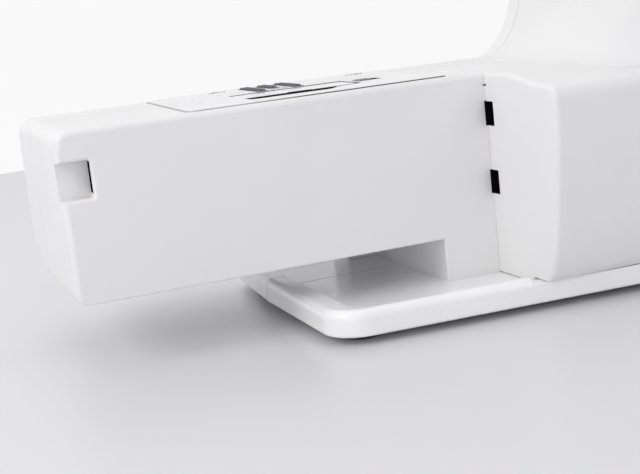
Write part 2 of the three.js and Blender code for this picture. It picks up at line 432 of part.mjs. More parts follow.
// ---------------------------------------------------------------- feed
const holeY = (x) => turned('y', x, 68, [[0, 50], [2.3, 50], [2.3, 90], [0, 90]], 20);
node('feed_bar', sub(add(block(83.5, 110.5, 60.2, 72, 63.4, 73.4), block(92, 102, 60.2, 72, 62.0, 73.4)), holeY(87), holeY(107)), 0x8e9093, 0.45, 0.9);
const toothRow = (x0, x1, y0, y1) => {
  const p = [];
  const n = Math.round((y1 - y0) / 2);
  p.push([y0, 82]);
  for (let i = 0; i < n; i++) { const a = y0 + (y1 - y0) * i / n, b = y0 + (y1 - y0) * (i + 1) / n; p.push([a, 85.7], [a + (b - a) * 0.7, 86.5]); }
  p.push([y1, 85.7], [y1, 82]);
  return prismX(p, x0, x1);
};
node('feed_dog', add(
  block(87.2, 106.8, 52.4, 76.4, 80.6, 82.3),
  block(93.5, 100.5, 72.4, 76.0, 63.0, 81), block(93.5, 100.5, 72.4, 76.0, 63.0, 81),
  toothRow(87.8, 91.2, 52.4, 76.4), toothRow(102.8, 106.2, 52.4, 76.4), toothRow(95.3, 98.7, 60.4, 76.4)), 0x6f7073, 0.35, 1);

// ---------------------------------------------------------------- feed-drop lever at the back
node('drop_lever', add(block(58.4, 66.4, 88.3, 98.8, 52.4, 57.6), block(58.4, 66.4, 96.2, 99.8, 50.6, 59.4), block(58.4, 70.4, 86.8, 89.2, 50.4, 59.6)), 0x3c3d40, 0.5, 0);
node('cover_screw_1', turned('z', 20, 44, [[0, 25.2], [2.7, 25.2], [2.9, 25.5], [2.9, 26.1], [1.4, 26.1], [1.4, 29.6], [0, 29.6]], 20), STEEL, 0.35, 0.9);
node('cover_screw_2', turned('z', 110, 44, [[0, 25.2], [2.7, 25.2], [2.9, 25.5], [2.9, 26.1], [1.4, 26.1], [1.4, 29.6], [0, 29.6]], 20), STEEL, 0.35, 0.9);

// ---------------------------------------------------------------- origin: bottom centre of the whole
group.updateMatrixWorld(true);
const box = new THREE.Box3().setFromObject(group);
const shift = new THREE.Vector3(-(box.min.x + box.max.x) / 2, -(box.min.y + box.max.y) / 2, -box.min.z);
for (const m of group.children) m.geometry.translate(shift.x, shift.y, shift.z);

export default group;
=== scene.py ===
import json
import math
import bpy
import bmesh
from mathutils import Matrix, Vector


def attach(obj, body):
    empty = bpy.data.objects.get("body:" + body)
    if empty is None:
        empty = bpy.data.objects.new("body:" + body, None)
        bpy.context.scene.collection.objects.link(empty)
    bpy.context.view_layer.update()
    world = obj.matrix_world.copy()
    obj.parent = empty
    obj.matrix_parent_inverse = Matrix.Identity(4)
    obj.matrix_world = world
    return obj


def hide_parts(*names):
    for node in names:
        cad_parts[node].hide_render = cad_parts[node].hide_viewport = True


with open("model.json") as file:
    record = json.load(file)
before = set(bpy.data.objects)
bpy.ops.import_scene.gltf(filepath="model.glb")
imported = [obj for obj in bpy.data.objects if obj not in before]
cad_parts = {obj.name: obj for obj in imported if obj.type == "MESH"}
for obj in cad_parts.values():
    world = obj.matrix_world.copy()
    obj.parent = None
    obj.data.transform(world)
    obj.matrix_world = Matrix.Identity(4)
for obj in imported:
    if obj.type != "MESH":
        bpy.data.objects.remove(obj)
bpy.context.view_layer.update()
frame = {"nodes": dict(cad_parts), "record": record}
NODES = frame["nodes"]

# ------------------------------------------------------------------ frame
# drawing coordinates (mm: x from the free end, y from the arm front, z over the table) to the row frame (m)
OX, OY = -124.15, -25.066
ARM_L, ARM_X0, ARM_Z0, TOP = 160.0, -1.7, 25.0, 85.4
LEG_X, COL_X, COL_Y, LEG_Y1 = 137.8, 124.0, 68.0, 85.5
FLOOR, BASE_Z0, RIM, SEAT = 8.5, 3.0, 12.5, 10.5
BODY_X1, BODY_Y1, PILLAR_TOP = 250.0, 96.0, 114.0
SPLIT, GAP, WALL = 57.0, 0.3, 2.4
BX, BY = 97.0, 36.0
SY, SZ = 57.8, 45.0
HALF_PI = math.pi / 2


def P(x, y, z):
    return Vector(((x + OX) / 1000.0, (y + OY) / 1000.0, z / 1000.0))


# ------------------------------------------------------------------ camera
cam_data = bpy.data.cameras.new("camera")
cam = bpy.data.objects.new("camera", cam_data)
bpy.context.scene.collection.objects.link(cam)
bpy.context.scene.camera = cam
cam_data.sensor_fit = "HORIZONTAL"
cam_data.sensor_width = 36.0
cam_data.lens = 1272.294717 * 36.0 / 640.0
cam_data.clip_start, cam_data.clip_end = 0.01, 60.0
RIGHT = Vector((0.92883876, -0.353901, -0.10960215))
DOWN = Vector((-0.16799248, -0.1386472, -0.97598949))
FWD = Vector((0.33020763, 0.92494921, -0.1882336))
_rot = Matrix((RIGHT, -DOWN, -FWD)).transposed()
cam.matrix_world = Matrix.Translation(P(-64.44167, -427.423, 121.47617)) @ _rot.to_4x4()


# ------------------------------------------------------------------ mesh helpers
def rounded(pts, seg=6):
    """Polygon with rounded corners from (u, v, radius[, segments])."""
    out = []
    n = len(pts)
    for i, p in enumerate(pts):
        x, y = p[0], p[1]
        r = p[2] if len(p) > 2 else 0
        s = p[3] if len(p) > 3 else seg
        if not r:
            out.append((x, y))
            continue
        a, b = pts[i - 1], pts[(i + 1) % n]
        ax, ay, bx, by = a[0] - x, a[1] - y, b[0] - x, b[1] - y
        la, lb = math.hypot(ax, ay), math.hypot(bx, by)
        ax, ay, bx, by = ax / la, ay / la, bx / lb, by / lb
        ang = math.acos(max(-1.0, min(1.0, ax * bx + ay * by)))
        t = r / math.tan(ang / 2)
        mx, my = ax + bx, ay + by
        ml = math.hypot(mx, my)
        h = r / math.sin(ang / 2)
        cx, cy = x + mx / ml * h, y + my / ml * h
        a0 = math.atan2(y + ay * t - cy, x + ax * t - cx)
        a1 = math.atan2(y + by * t - cy, x + bx * t - cx)
        d = a1 - a0
        while d > math.pi:
            d -= 2 * math.pi
        while d < -math.pi:
            d += 2 * math.pi
        for k in range(s + 1):
            out.append((cx + r * math.cos(a0 + d * k / s), cy + r * math.sin(a0 + d * k / s)))
    return out


def circle(cx, cy, r, n=48, a0=0.0):
    return [(cx + r * math.cos(a0 + 2 * math.pi * i / n), cy + r * math.sin(a0 + 2 * math.pi * i / n)) for i in range(n)]


def new_object(name, bm):
    bmesh.ops.remove_doubles(bm, verts=bm.verts, dist=2e-7)
    bmesh.ops.recalc_face_normals(bm, faces=bm.faces)
    me = bpy.data.meshes.new(name)
    bm.to_mesh(me)
    bm.free()
    ob = bpy.data.objects.new(name, me)
    bpy.context.scene.collection.objects.link(ob)
    return ob


def loft(name, rings, closed=False):
    """Solid through equally long rings of (x, y, z) in drawing mm; closed joins the last ring to the first."""
    bm = bmesh.new()
    vs = [[bm.verts.new(P(*p)) for p in r] for r in rings]
    n, m = len(rings[0]), len(rings)
    for k in range(m if closed else m - 1):
        a, b = vs[k], vs[(k + 1) % m]
        for i in range(n):
            j = (i + 1) % n
            bm.faces.new((a[i], a[j], b[j], b[i]))
    if not closed:
        bm.faces.new(list(reversed(vs[0])))
        bm.faces.new(vs[-1])
    return new_object(name, bm)


def prism(name, axis, pts, w0, w1):
    f = {"x": lambda u, v, w: (w, u, v), "y": lambda u, v, w: (u, w, v), "z": lambda u, v, w: (u, v, w)}[axis]
    return loft(name, [[f(p[0], p[1], w) for p in pts] for w in (w0, w1)])


def block(name, x0, x1, y0, y1, z0, z1):
    return prism(name, "z", [(x0, y0), (x1, y0), (x1, y1), (x0, y1)], z0, z1)


def turned(name, axis, a, b, profile, n=64):
    """Turned solid round an axis through (a, b); profile of (radius, height), closed on itself or on the axis."""
    f = {"x": lambda u, v, w: (w, a + u, b + v), "y": lambda u, v, w: (a + u, w, b + v), "z": lambda u, v, w: (a + u, b + v, w)}[axis]
    bm = bmesh.new()
    rows = []
    for r, h in profile:
        if r < 1e-6:
            rows.append([bm.verts.new(P(*f(0, 0, h)))])
        else:
            rows.append([bm.verts.new(P(*f(r * math.cos(2 * math.pi * i / n), r * math.sin(2 * math.pi * i / n), h))) for i in range(n)])
    for k in range(len(rows) - 1):
        p, q = rows[k], rows[k + 1]
        for i in range(n):
            j = (i + 1) % n
            if len(p) == 1 and len(q) == 1:
                continue
            if len(p) == 1:
                bm.faces.new((p[0], q[j], q[i]))
            elif len(q) == 1:
                bm.faces.new((p[i], p[j], q[0]))
            else:
                bm.faces.new((p[i], p[j], q[j], q[i]))
    return new_object(name, bm)


def rounded_profile(pts, seg=5):
    """Open or closed turned profile whose inner points may carry a radius."""
    if abs(pts[0][0] - pts[-1][0]) < 1e-9 and abs(pts[0][1] - pts[-1][1]) < 1e-9:
        q = rounded([p for p in pts[:-1]], seg)
        return q + [q[0]]
    out = []
    for i, p in enumerate(pts):
        if i in (0, len(pts) - 1) or len(p) < 3 or not p[2]:
            out.append((p[0], p[1]))
        else:
            tri = rounded([(pts[i - 1][0], pts[i - 1][1]), p, (pts[i + 1][0], pts[i + 1][1])], seg)
            out += tri[1:-1]
    return out


def apply_modifiers(ob):
    bpy.context.view_layer.update()
    dg = bpy.context.evaluated_depsgraph_get()
    me = bpy.data.meshes.new_from_object(ob.evaluated_get(dg))
    ob.modifiers.clear()
    old = ob.data
    ob.data = me
    bpy.data.meshes.remove(old)


def boolean(ob, op, *others):
    for o in others:
        m = ob.modifiers.new("b", "BOOLEAN")
        m.operation = op
        m.solver = "MANIFOLD"
        m.object = o
        apply_modifiers(ob)
        bpy.data.objects.remove(o)
    return ob


def cut(ob, *others):
    return boolean(ob, "DIFFERENCE", *others)


def join(ob, *others):
    return boolean(ob, "UNION", *others)


def keep(ob, *others):
    return boolean(ob, "INTERSECT", *others)


def copy(ob, name):
    c = ob.copy()
    c.data = ob.data.copy()
    c.name = name
    bpy.context.scene.collection.objects.link(c)
    return c


def tidy(ob, angle=34, bevel=0.0, segments=2, bevel_angle=50, merge=0.3):
    bm = bmesh.new()
    bm.from_mesh(ob.data)
    if merge:
        bmesh.ops.remove_doubles(bm, verts=bm.verts, dist=3e-6)
        bmesh.ops.dissolve_degenerate(bm, edges=bm.edges, dist=2e-6)
        bmesh.ops.dissolve_limit(bm, angle_limit=math.radians(merge), verts=bm.verts, edges=bm.edges)
    bm.to_mesh(ob.data)
    bm.free()
    ob.data.shade_smooth()
    if bevel:
        b = ob.modifiers.new("bevel", "BEVEL")
        b.width = bevel / 1000.0
        b.segments = segments
        b.limit_method = "ANGLE"
        b.angle_limit = math.radians(bevel_angle)
        b.use_clamp_overlap = True
        b.miter_outer = "MITER_ARC"
        apply_modifiers(ob)
    ob.data.set_sharp_from_angle(angle=math.radians(angle))
    w = ob.modifiers.new("normals", "WEIGHTED_NORMAL")
    w.keep_sharp = True
    w.weight = 80
    return ob


def quarter(r, n=10):
    """(depth, inset) down a rounded edge of radius r, from the face to the side."""
    return [(r * (1 - math.cos(HALF_PI * k / n)), r * (1 - math.sin(HALF_PI * k / n))) for k in range(n + 1)]


# ------------------------------------------------------------------ materials
def principled(name, color, rough, metal=0.0, spec=0.5, **kw):
    m = bpy.data.materials.new(name)
    m.use_nodes = True
    nt = m.node_tree
    b = nt.nodes["Principled BSDF"]
    b.inputs["Base Color"].default_value = (*color, 1)
    b.inputs["Roughness"].default_value = rough
    b.inputs["Metallic"].default_value = metal
    b.inputs["Specular IOR Level"].default_value = spec
    for k, v in kw.items():
        b.inputs[k.replace("_", " ")].default_value = v
    return m, nt, b


def coords(nt):
    t = nt.nodes.new("ShaderNodeTexCoord")
    return t.outputs["Object"]


def noise(nt, vec, scale, detail=3.0, rough=0.5, stretch=None):
    if stretch:
        mp = nt.nodes.new("ShaderNodeMapping")
        mp.inputs["Scale"].default_value = stretch
        nt.links.new(vec, mp.inputs["Vector"])
        vec = mp.outputs["Vector"]
    n = nt.nodes.new("ShaderNodeTexNoise")
    n.inputs["Scale"].default_value = scale
    n.inputs["Detail"].default_value = detail
    n.inputs["Roughness"].default_value = rough
    nt.links.new(vec, n.inputs["Vector"])
    return n.outputs["Fac"]


def ramp(nt, fac, lo, hi, c0, c1):
    r = nt.nodes.new("ShaderNodeMapRange")
    r.inputs["From Min"].default_value = lo
    r.inputs["From Max"].default_value = hi
    nt.links.new(fac, r.inputs["Value"])
    x = nt.nodes.new("ShaderNodeMix")
    x.data_type = "RGBA"
    x.inputs[6].default_value = (*c0, 1)
    x.inputs[7].default_value = (*c1, 1)
    nt.links.new(r.outputs["Result"], x.inputs[0])
    return x.outputs[2]


def value_range(nt, fac, lo, hi, a, b):
    r = nt.nodes.new("ShaderNodeMapRange")
    r.inputs["From Min"].default_value = lo
    r.inputs["From Max"].default_value = hi
    r.inputs["To Min"].default_value = a
    r.inputs["To Max"].default_value = b
    nt.links.new(fac, r.inputs["Value"])
    return r.outputs["Result"]


def bump(nt, bsdf, height, strength, dist):
    b = nt.nodes.new("ShaderNodeBump")
    b.inputs["Strength"].default_value = strength
    b.inputs["Distance"].default_value = dist
    nt.links.new(height, b.inputs["Height"])
    nt.links.new(b.outputs["Normal"], bsdf.inputs["Normal"])
    return b


def tint(c, k):
    return tuple(max(0.0, min(1.0, v * k)) for v in c)


def plastic(name, color, rough, grain=1400.0, strength=0.12, vary=0.02, coat=0.0, spec=0.5, rough_vary=0.06):
    m, nt, b = principled(name, color, rough, spec=spec)
    v = coords(nt)
    big = noise(nt, v, 14.0, 3.0)
    nt.links.new(ramp(nt, big, 0.3, 0.7, tint(color, 1 - vary), tint(color, 1 + vary)), b.inputs["Base Color"])
    mid = noise(nt, v, 90.0, 4.0)
    nt.links.new(value_range(nt, mid, 0.3, 0.7, max(0.02, rough - rough_vary), min(1, rough + rough_vary)), b.inputs["Roughness"])
    fine = noise(nt, v, grain, 2.0, 0.6)
    bump(nt, b, fine, strength, 0.0001)
    if coat:
        b.inputs["Coat Weight"].default_value = coat
        b.inputs["Coat Roughness"].default_value = 0.12
    return m


def metal(name, color, rough, stretch=None, scale=900.0, strength=0.15, vary=0.05):
    m, nt, b = principled(name, color, rough, 1.0)
    v = coords(nt)
    n1 = noise(nt, v, scale, 3.0, 0.6, stretch)
    n2 = noise(nt, v, 30.0, 3.0)
    nt.links.new(ramp(nt, n2, 0.3, 0.7, tint(color, 1 - vary), tint(color, 1 + vary)), b.inputs["Base Color"])
    nt.links.new(value_range(nt, n1, 0.3, 0.7, max(0.03, rough - 0.07), rough + 0.08), b.inputs["Roughness"])
    bump(nt, b, n1, strength, 0.00005)
    return m


# plate sides: dark steel is the sheared edge's own colour; the ramp lightens them towards the left end (x under about
# 66 mm), and that lighter left end is painted light
def edge_metal():
    m, nt, b = principled("plate_edge", (0.3, 0.27, 0.25), 0.45, 1.0)
    v = coords(nt)
    sp = nt.nodes.new("ShaderNodeSeparateXYZ")
    nt.links.new(v, sp.inputs["Vector"])
    nt.links.new(ramp(nt, sp.outputs["X"], -0.058, -0.030, (0.66, 0.65, 0.64), (0.22, 0.19, 0.17)), b.inputs["Base Color"])
    n = noise(nt, v, 900.0, 3.0, 0.6)
    nt.links.new(value_range(nt, n, 0.3, 0.7, 0.38, 0.53), b.inputs["Roughness"])
    return m


MAT = {
    "shell_white": plastic("shell_white", (0.84, 0.833, 0.83), 0.42),
    # base plastic painted lighter than the shell white (0.92 against 0.84): painted light making up for the shade the
    # base gets; the gloss and coat are its finish
    "base_white": plastic("base_white", (0.92, 0.92, 0.925), 0.2, strength=0.03, coat=0.25),
    "cover_grey": plastic("cover_grey", (0.72, 0.72, 0.73), 0.5),
    "black_plastic": plastic("black_plastic", (0.003, 0.003, 0.0032), 0.7, spec=0.08),
    "gear_nylon": plastic("gear_nylon", (0.75, 0.70, 0.58), 0.5, strength=0.1),
    "plate_steel": metal("plate_steel", (0.87, 0.87, 0.875), 0.33, (1.0, 30.0, 1.0), 260.0, 0.05, 0.02),
    "plate_edge": edge_metal(),
    # near-black used as painted shade on the bobbin cover's front edge
    "cover_edge_painted_shade": plastic("cover_edge_painted_shade", (0.02, 0.014, 0.011), 0.6, spec=0.2),
    "steel": metal("steel", (0.62, 0.62, 0.64), 0.26),
    "cast_alloy": metal("cast_alloy", (0.55, 0.56, 0.57), 0.55, None, 700.0, 0.5),
    "bronze": metal("bronze", (0.55, 0.38, 0.18), 0.38),
    "foot_rubber": plastic("foot_rubber", (0.02, 0.02, 0.021), 0.85, strength=0.3),
    "dark_steel": metal("dark_steel", (0.16, 0.16, 0.17), 0.35),
    "latch_grey": plastic("latch_grey", (0.30, 0.31, 0.33), 0.45),
    "pulley_black": plastic("pulley_black", (0.03, 0.03, 0.032), 0.5),
}


def clear_plastic(name, color, rough):
    m, nt, b = principled(name, color, rough)
    b.inputs["Transmission Weight"].default_value = 0.22
    b.inputs["IOR"].default_value = 1.46
    v = coords(nt)
    n = noise(nt, v, 120.0, 3.0)
    nt.links.new(value_range(nt, n, 0.3, 0.7, rough * 0.6, rough * 1.6), b.inputs["Roughness"])
    nt.links.new(ramp(nt, n, 0.3, 0.7, tint(color, 0.97), color), b.inputs["Base Color"])
    return m


MAT["clear_plastic"] = clear_plastic("clear_plastic", (0.90, 0.92, 0.93), 0.10)


def thread_material():
    m, nt, b = principled("thread", (0.70, 0.67, 0.62), 0.75)
    v = coords(nt)
    w = nt.nodes.new("ShaderNodeTexWave")
    w.wave_type = "BANDS"
    w.bands_direction = "Z"
    w.inputs["Scale"].default_value = 900.0
    w.inputs["Distortion"].default_value = 3.0
    w.inputs["Detail"].default_value = 2.0
    nt.links.new(v, w.inputs["Vector"])
    nt.links.new(ramp(nt, w.outputs["Fac"], 0.0, 1.0, (0.50, 0.47, 0.43), (0.78, 0.75, 0.70)), b.inputs["Base Color"])
    bump(nt, b, w.outputs["Fac"], 0.8, 0.0002)
    b.inputs["Sheen Weight"].default_value = 0.3
    return m


MAT["thread"] = thread_material()


def paint(ob, key):
    ob.data.materials.clear()
    ob.data.materials.append(MAT[key])
    ob.data.polygons.foreach_set("material_index", [0] * len(ob.data.polygons))
    return ob


# ------------------------------------------------------------------ arm
def arm_rear_insets(y):
    def sup(t, p):
        t = max(0.0, min(1.0, t))
        return 1 - (1 - t ** p) ** (1 / p)
    it = 21.0 * sup((y - 80.0) / 15.0, 2.6)
    ib = 34.0 * sup((y - 66.0) / 29.0, 2.2)
    il = 6.0 * sup((y - 89.0) / 6.0, 2.0)
    return il, it, ib


def arm_rings(x1=ARM_L - 0.03):
    ys = []
    front = [(d, i) for d, i in quarter(2.2, 10)]
    for d, i in front:
        bi = 0.7 - math.sqrt(max(0.0, 0.49 - (0.7 - d) ** 2)) if d < 0.7 else 0.0
        ys.append((d, i, i, bi))
    for y in (20, 40, 60):
        ys.append((y, 0, 0, 0))
    n = 26
    for k in range(n + 1):
        y = 66.0 + 29.0 * math.sin(HALF_PI * k / n)
        il, it, ib = arm_rear_insets(y)
        ys.append((y, il, it, ib))
    rings = []
    for y, il, it, ib in ys:
        z0, z1 = ARM_Z0 + ib, TOP - it
        hgt = z1 - z0
        rt = max(0.05, min(5.2 - min(il, 2.2), hgt / 2.3))
        rb = max(0.05, min(4.2 - min(il, 2.2), hgt / 2.3))
        p = rounded([(ARM_X0 + il, z0, rb, 10), (x1, z0), (x1, z1), (ARM_X0 + il, z1, rt, 10)])
        rings.append([(q[0], y, q[1]) for q in p])
    return rings


def leg_solid(name):
    """Leg of the L: front face flush with the arm, small rounding on its front edge."""
    rings = []
    for d, i in quarter(0.7, 5) + [(LEG_Y1, 0.0)]:
        rings.append([(LEG_X + i, d, 8.53), (ARM_L - 0.03, d, 8.53), (ARM_L - 0.03, d, ARM_Z0 + 9), (LEG_X + i, d, ARM_Z0 + 9)])
    a = loft(name, rings)
    return join(a, block("c", COL_X, ARM_L - 0.03, COL_Y, LEG_Y1, 8.53, ARM_Z0 + 9))


def notch_cutter():
    rings = []
    r = 1.3
    for y, o in [(-3.0, r)] + [(d, i) for d, i in quarter(r, 6)] + [(5.6, 0.0), (6.15, 0.12), (6.42, 0.4), (6.5, 0.9)]:
        p = rounded([(-9.0, 61.6 - o), (9.3 + o, 61.6 - o, 0.9 + 0.5 * o), (9.3 + o, 74.7 + o, 0.9 + 0.5 * o), (-9.0, 74.7 + o)])
        rings.append([(q[0], y, q[1]) for q in p])
    return loft("n", rings)


arm = loft("arm", arm_rings())
arm = join(arm, leg_solid("leg"))
cavity = block("cav", ARM_X0 + 2.4, ARM_L + 8, 2.4, 86.5, ARM_Z0 + 2.4, TOP - 2.4)
cavity = cut(cavity, block("rr", -10, 200, 76, 100, 10, 40), block("rt", -10, 200, 84, 100, 76, 100),
             block("pk", -5, 11.7, -5, 8.9, 59.2, 77.1))
cavity = join(cavity, block("lc", LEG_X + 2.4, ARM_L + 8, 2.4, LEG_Y1 - 2.4, 0, ARM_Z0 + 4),
              block("cc", COL_X + 2.4, ARM_L + 8, COL_Y + 2.4, LEG_Y1 - 2.4, 0, ARM_Z0 + 4))
arm = cut(arm, cavity)
arm = cut(arm, prism("pc", "z", rounded([(46, 4, 3), (147.5, 4, 3), (147.5, 83.3, 6), (49, 83.3, 6)], 8), 70, 100))
arm = cut(arm, prism("bc", "z", rounded([(7, 7, 4), (131, 7, 4), (131, 64, 4), (118, 64, 2), (118, 82, 4), (7, 82, 4)], 6), 10, ARM_Z0 + 4))
arm = cut(arm, notch_cutter())
arm = cut(arm, block("ns", 8.3, 12.8, 1.6, 6.4, 62.9, 74.0))
arm = cut(arm, block("s1", ARM_L - 0.75, ARM_L + 2, -1, 1.1, 65.3, 74.7), block("s2", ARM_L - 0.75, ARM_L + 2, -1, 1.1, 39.3, 48.5))
arm = cut(arm, block("s3", ARM_L - 0.7, ARM_L + 2, -1, 1.4, 80.2, 81.0))
arm_rear = copy(arm, "arm_rear")
arm_front = keep(arm, block("h", -20, 300, -100, SPLIT - GAP / 2, -10, 200))
arm_front.name = "arm_front"
arm_rear = keep(arm_rear, block("h", -20, 300, SPLIT + GAP / 2, 200, -10, 200))
arm_rear = cut(arm_rear, prism("ls", "y", rounded([(58, 52, 0.8), (80, 52, 0.8), (80, 58, 0.8), (58, 58, 0.8)], 5), 80, 110))
for ob, node in ((arm_front, "arm_front_shell"), (arm_rear, "arm_rear_shell")):
    tidy(ob)
    paint(ob, "shell_white")
    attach(ob, "bed")
    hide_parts(node)


# ------------------------------------------------------------------ body
def spline(pts, per=6):
    out = []
    n = len(pts)
    for i in range(n - 1):
        p0, p1, p2, p3 = pts[max(0, i - 1)], pts[i], pts[i + 1], pts[min(n - 1, i + 2)]
        for k in range(per):
            t = k / per
            out.append(tuple(0.5 * ((2 * p1[j]) + (-p0[j] + p2[j]) * t + (2 * p0[j] - 5 * p1[j] + 4 * p2[j] - p3[j]) * t * t
                                    + (-p0[j] + 3 * p1[j] - 3 * p2[j] + p3[j]) * t ** 3) for j in range(2)))
    out.append(pts[-1])
    return out


BOW = spline([(-34.6, 8.8), (-36.6, 10.9), (-39.6, 15.1), (-43.4, 27.2), (-47.0, 47.6), (-48.9, 63), (-49.6, 76.2)], 5)
SHOULDER = spline([(-49.6, 76.2), (-49.4, 78.2), (-48.5, 80.1), (-46.5, 81.3), (-43.5, 81.75), (-36, 82.3), (-28, 83.4), (-20, 84.7), (-13, 85.35), (-6, 85.4)], 4)
REAR = rounded([(-6, TOP), (86, TOP, 9, 10), (BODY_Y1, 66, 30, 6), (BODY_Y1 - 1, 8.8)])
BODY_SIDE = BOW[:-1] + SHOULDER[:-1] + REAR


def body_rings():
    n = len(BODY_SIDE)
    normals = []
    for i in range(n):
        a, b = BODY_SIDE[i - 1], BODY_SIDE[(i + 1) % n]
        dx, dy = b[0] - a[0], b[1] - a[1]
        l = math.hypot(dx, dy) or 1
        normals.append((dy / l, -dx / l))     # to the inside for this winding
    rings = []
    for d, i in quarter(1.9, 9) + [(BODY_X1 - ARM_L - 0.03, 0.0)]:
        r = []
        for (y, z), (ny, nz) in zip(BODY_SIDE, normals):
            k = max(0.0, min(1.0, (2.2 - y) / 2.4))
            k = k * k * (3 - 2 * k)
            if z < 9:
                k = 0.0
            r.append((ARM_L + 0.03 + d, y + ny * i * k, z + nz * i * k))
        rings.append(r)
    return rings


body = loft("body", body_rings())


def pillar_rings(o=0.0, x1=BODY_X1, up=0.0):
    rings = []
    a, b = 24.0, 34.0
    zs = [(70.0, a), (TOP - 0.12, a)] + [(TOP - 0.12 + b * (1 - math.cos(t)), a * (1 - math.sin(t))) for t in [math.radians(v) for v in (3, 6, 9, 12, 16, 20, 25, 30, 36, 42, 48, 54, 60, 66, 72, 78, 84)]]
    for z, f in zs:
        if z > PILLAR_TOP + up:
            break
        rings.append((z, f))
    rings.append((PILLAR_TOP + up, rings[-1][1] * 0.9))
    out = []
    for z, f in rings:
        k = f / a
        xl = 211 - f + o
        yf = -21 - 17 * k + o
        yr = 82 - o
        p = rounded([(xl, yf, max(6, 26 - o), 12), (x1, yf), (x1, yr), (xl, yr, max(6, 22 - o), 12)])
        ring = []
        for q in p:
            y = q[1]
            drop = 0.0
            if y < -8:
                t = min(1.0, (-8 - y) / 36.0)
                drop = 2.9 * t
            elif y > 77:
                drop = min(4.0, (y - 77) ** 2 * 0.055)
            ring.append((q[0], q[1], z - drop * k))
        out.append(ring)
    return out


body = join(body, loft("pillar", pillar_rings()))
inner = prism("inner", "x", [(-32, 2), (-33.0, 11.4), (-37, 15.5), (-41, 27.5), (-44.6, 48), (-46.4, 63), (-46.8, 76), (-44, 79.2), (-28, 81.0), (-13, 82.6), (80, 82.8), (90, 76), (93, 66), (92.4, 2)], ARM_L + 2.75, BODY_X1 + 5)
inner = join(inner, prism("io", "x", [(2.4, 0), (83.1, 0), (83.1, 47), (88, 52), (90, 58), (90, 74.5), (80, 82.2), (2.4, TOP - 2.6)], ARM_L - 5, ARM_L + 10))
inner = join(inner, keep(loft("pi", pillar_rings(2.6, BODY_X1 + 5, 3)), block("pz", 0, 300, -100, 200, 75, 200)))
body = cut(body, inner)
body = cut(body, block("rc", 150, 260, -60, -26, 0, SEAT + GAP))
for z0 in (65.3, 39.3):
    body = cut(body, block("sl", ARM_L - 2, ARM_L + 6, -5.2, 1.12, z0, z0 + 9.2))
body = cut(body, block("s4", ARM_L - 1, ARM_L + 1.6, -1.3, 1.4, 80.2, 81.0))
body_rear = copy(body, "body_rear")
body_front = keep(body, block("h", -20, 300, -100, SPLIT - GAP / 2, -10, 200))
body_front.name = "body_front"
body_rear = keep(body_rear, block("h", -20, 300, SPLIT + GAP / 2, 200, -10, 200))
for ob, node in ((body_front, "body_front_shell"), (body_rear, "body_rear_shell")):
    tidy(ob)
    paint(ob, "shell_white")
    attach(ob, "bed")
    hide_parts(node)

# ------------------------------------------------------------------ placing
body_of = {}
for b, names in frame["record"]["behaviour"]["bodies"].items():
    for n_ in names:
        body_of[n_] = b
slots = {s_["node"]: s_["material_slot"] for s_ in frame["record"]["subparts"] if "node" in s_}


def place(ob, node, key=None, bevel=0.0, angle=34, segments=2, bevel_angle=40, merge=0.3):
    tidy(ob, angle, bevel, segments, bevel_angle, merge)
    key = key or slots[node]
    paint(ob, key)
    ob.name = node + "_form" if node in bpy.data.objects else node
    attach(ob, body_of[node])
    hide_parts(node)
    return ob


def cone_cut(axis, a, b, pts, n=24):
    return turned("c", axis, a, b, pts, n)


# ------------------------------------------------------------------ base
def base_plan(i, seg=12):
    return rounded([(79 + i, -30.9 + i, max(2.5, 14 - i), seg), (BODY_X1, -40.2 + i), (BODY_X1, BODY_Y1 - i),
                    (82.6 + i, BODY_Y1 - i, max(2.5, 6 - i), seg), (79 + i, 44)])


def well_plan(i, seg=12):
    return rounded([(88.6 + i, -25.5 + i, 7 - min(i, 3) * 0.6, seg), (BODY_X1 - 1.5 - i, -34.3 + i), (BODY_X1 - 1.5 - i, 88.2 - i),
                    (90.3 + i, 88.2 - i, 7 - min(i, 3) * 0.6, seg), (87.8 + i, 40)])


lev = [(BASE_Z0 + 1.2 - 1.2 * math.sin(HALF_PI * (1 - k / 5)), 1.2 - 1.2 * math.cos(HALF_PI * (1 - k / 5))) for k in range(6)]
lev += [(RIM - 3.4, 0.15)]
lev += [(RIM - 3.2 + 3.2 * math.sin(HALF_PI * k / 9), 0.2 + 3.2 * (1 - math.cos(HALF_PI * k / 9))) for k in range(10)]
wl = [(RIM, -0.6), (RIM - 0.12, -0.25), (RIM - 0.32, -0.06), (RIM - 0.55, 0.0)]
wl += [(FLOOR + 2.9 * (1 - math.cos(math.radians(t))), 4.6 * (1 - math.sin(math.radians(t)))) for t in range(80, 7, -8)]
wl += [(FLOOR, 6.5)]
base = loft("base", [[(p[0], p[1], z) for p in base_plan(i)] for z, i in lev] + [[(p[0], p[1], z) for p in well_plan(i)] for z, i in wl])
hollow = prism("hollow", "z", rounded([(86, -22, 8, 6), (246, -31, 2, 3), (246, 89, 2, 3), (90, 89, 8, 6), (86, 44)]), 0, FLOOR - 2.4)
FOOT = [(94, -16), (94, 80), (234, -22), (234, 80)]
BSCREW = [(114, -14), (214, -20), (114, 80), (214, 80)]
for x, y in FOOT:
    hollow = cut(hollow, turned("b", "z", x, y, [(0, -1), (9.5, -1), (9.5, FLOOR - 1), (0, FLOOR - 1)], 32))
for x, y in BSCREW:
    hollow = cut(hollow, turned("b", "z", x, y, [(0, -1), (5.5, -1), (5.5, FLOOR - 1), (0, FLOOR - 1)], 28))
for x in (127, 152, 177, 202):
    hollow = cut(hollow, block("r", x - 0.7, x + 0.7, -60, 120, BASE_Z0 + 1.0, 20))
for y in (4, 28, 58):
    hollow = cut(hollow, block("r", 60, 300, y - 0.7, y + 0.7, BASE_Z0 + 1.0, 20))
base = cut(base, hollow)
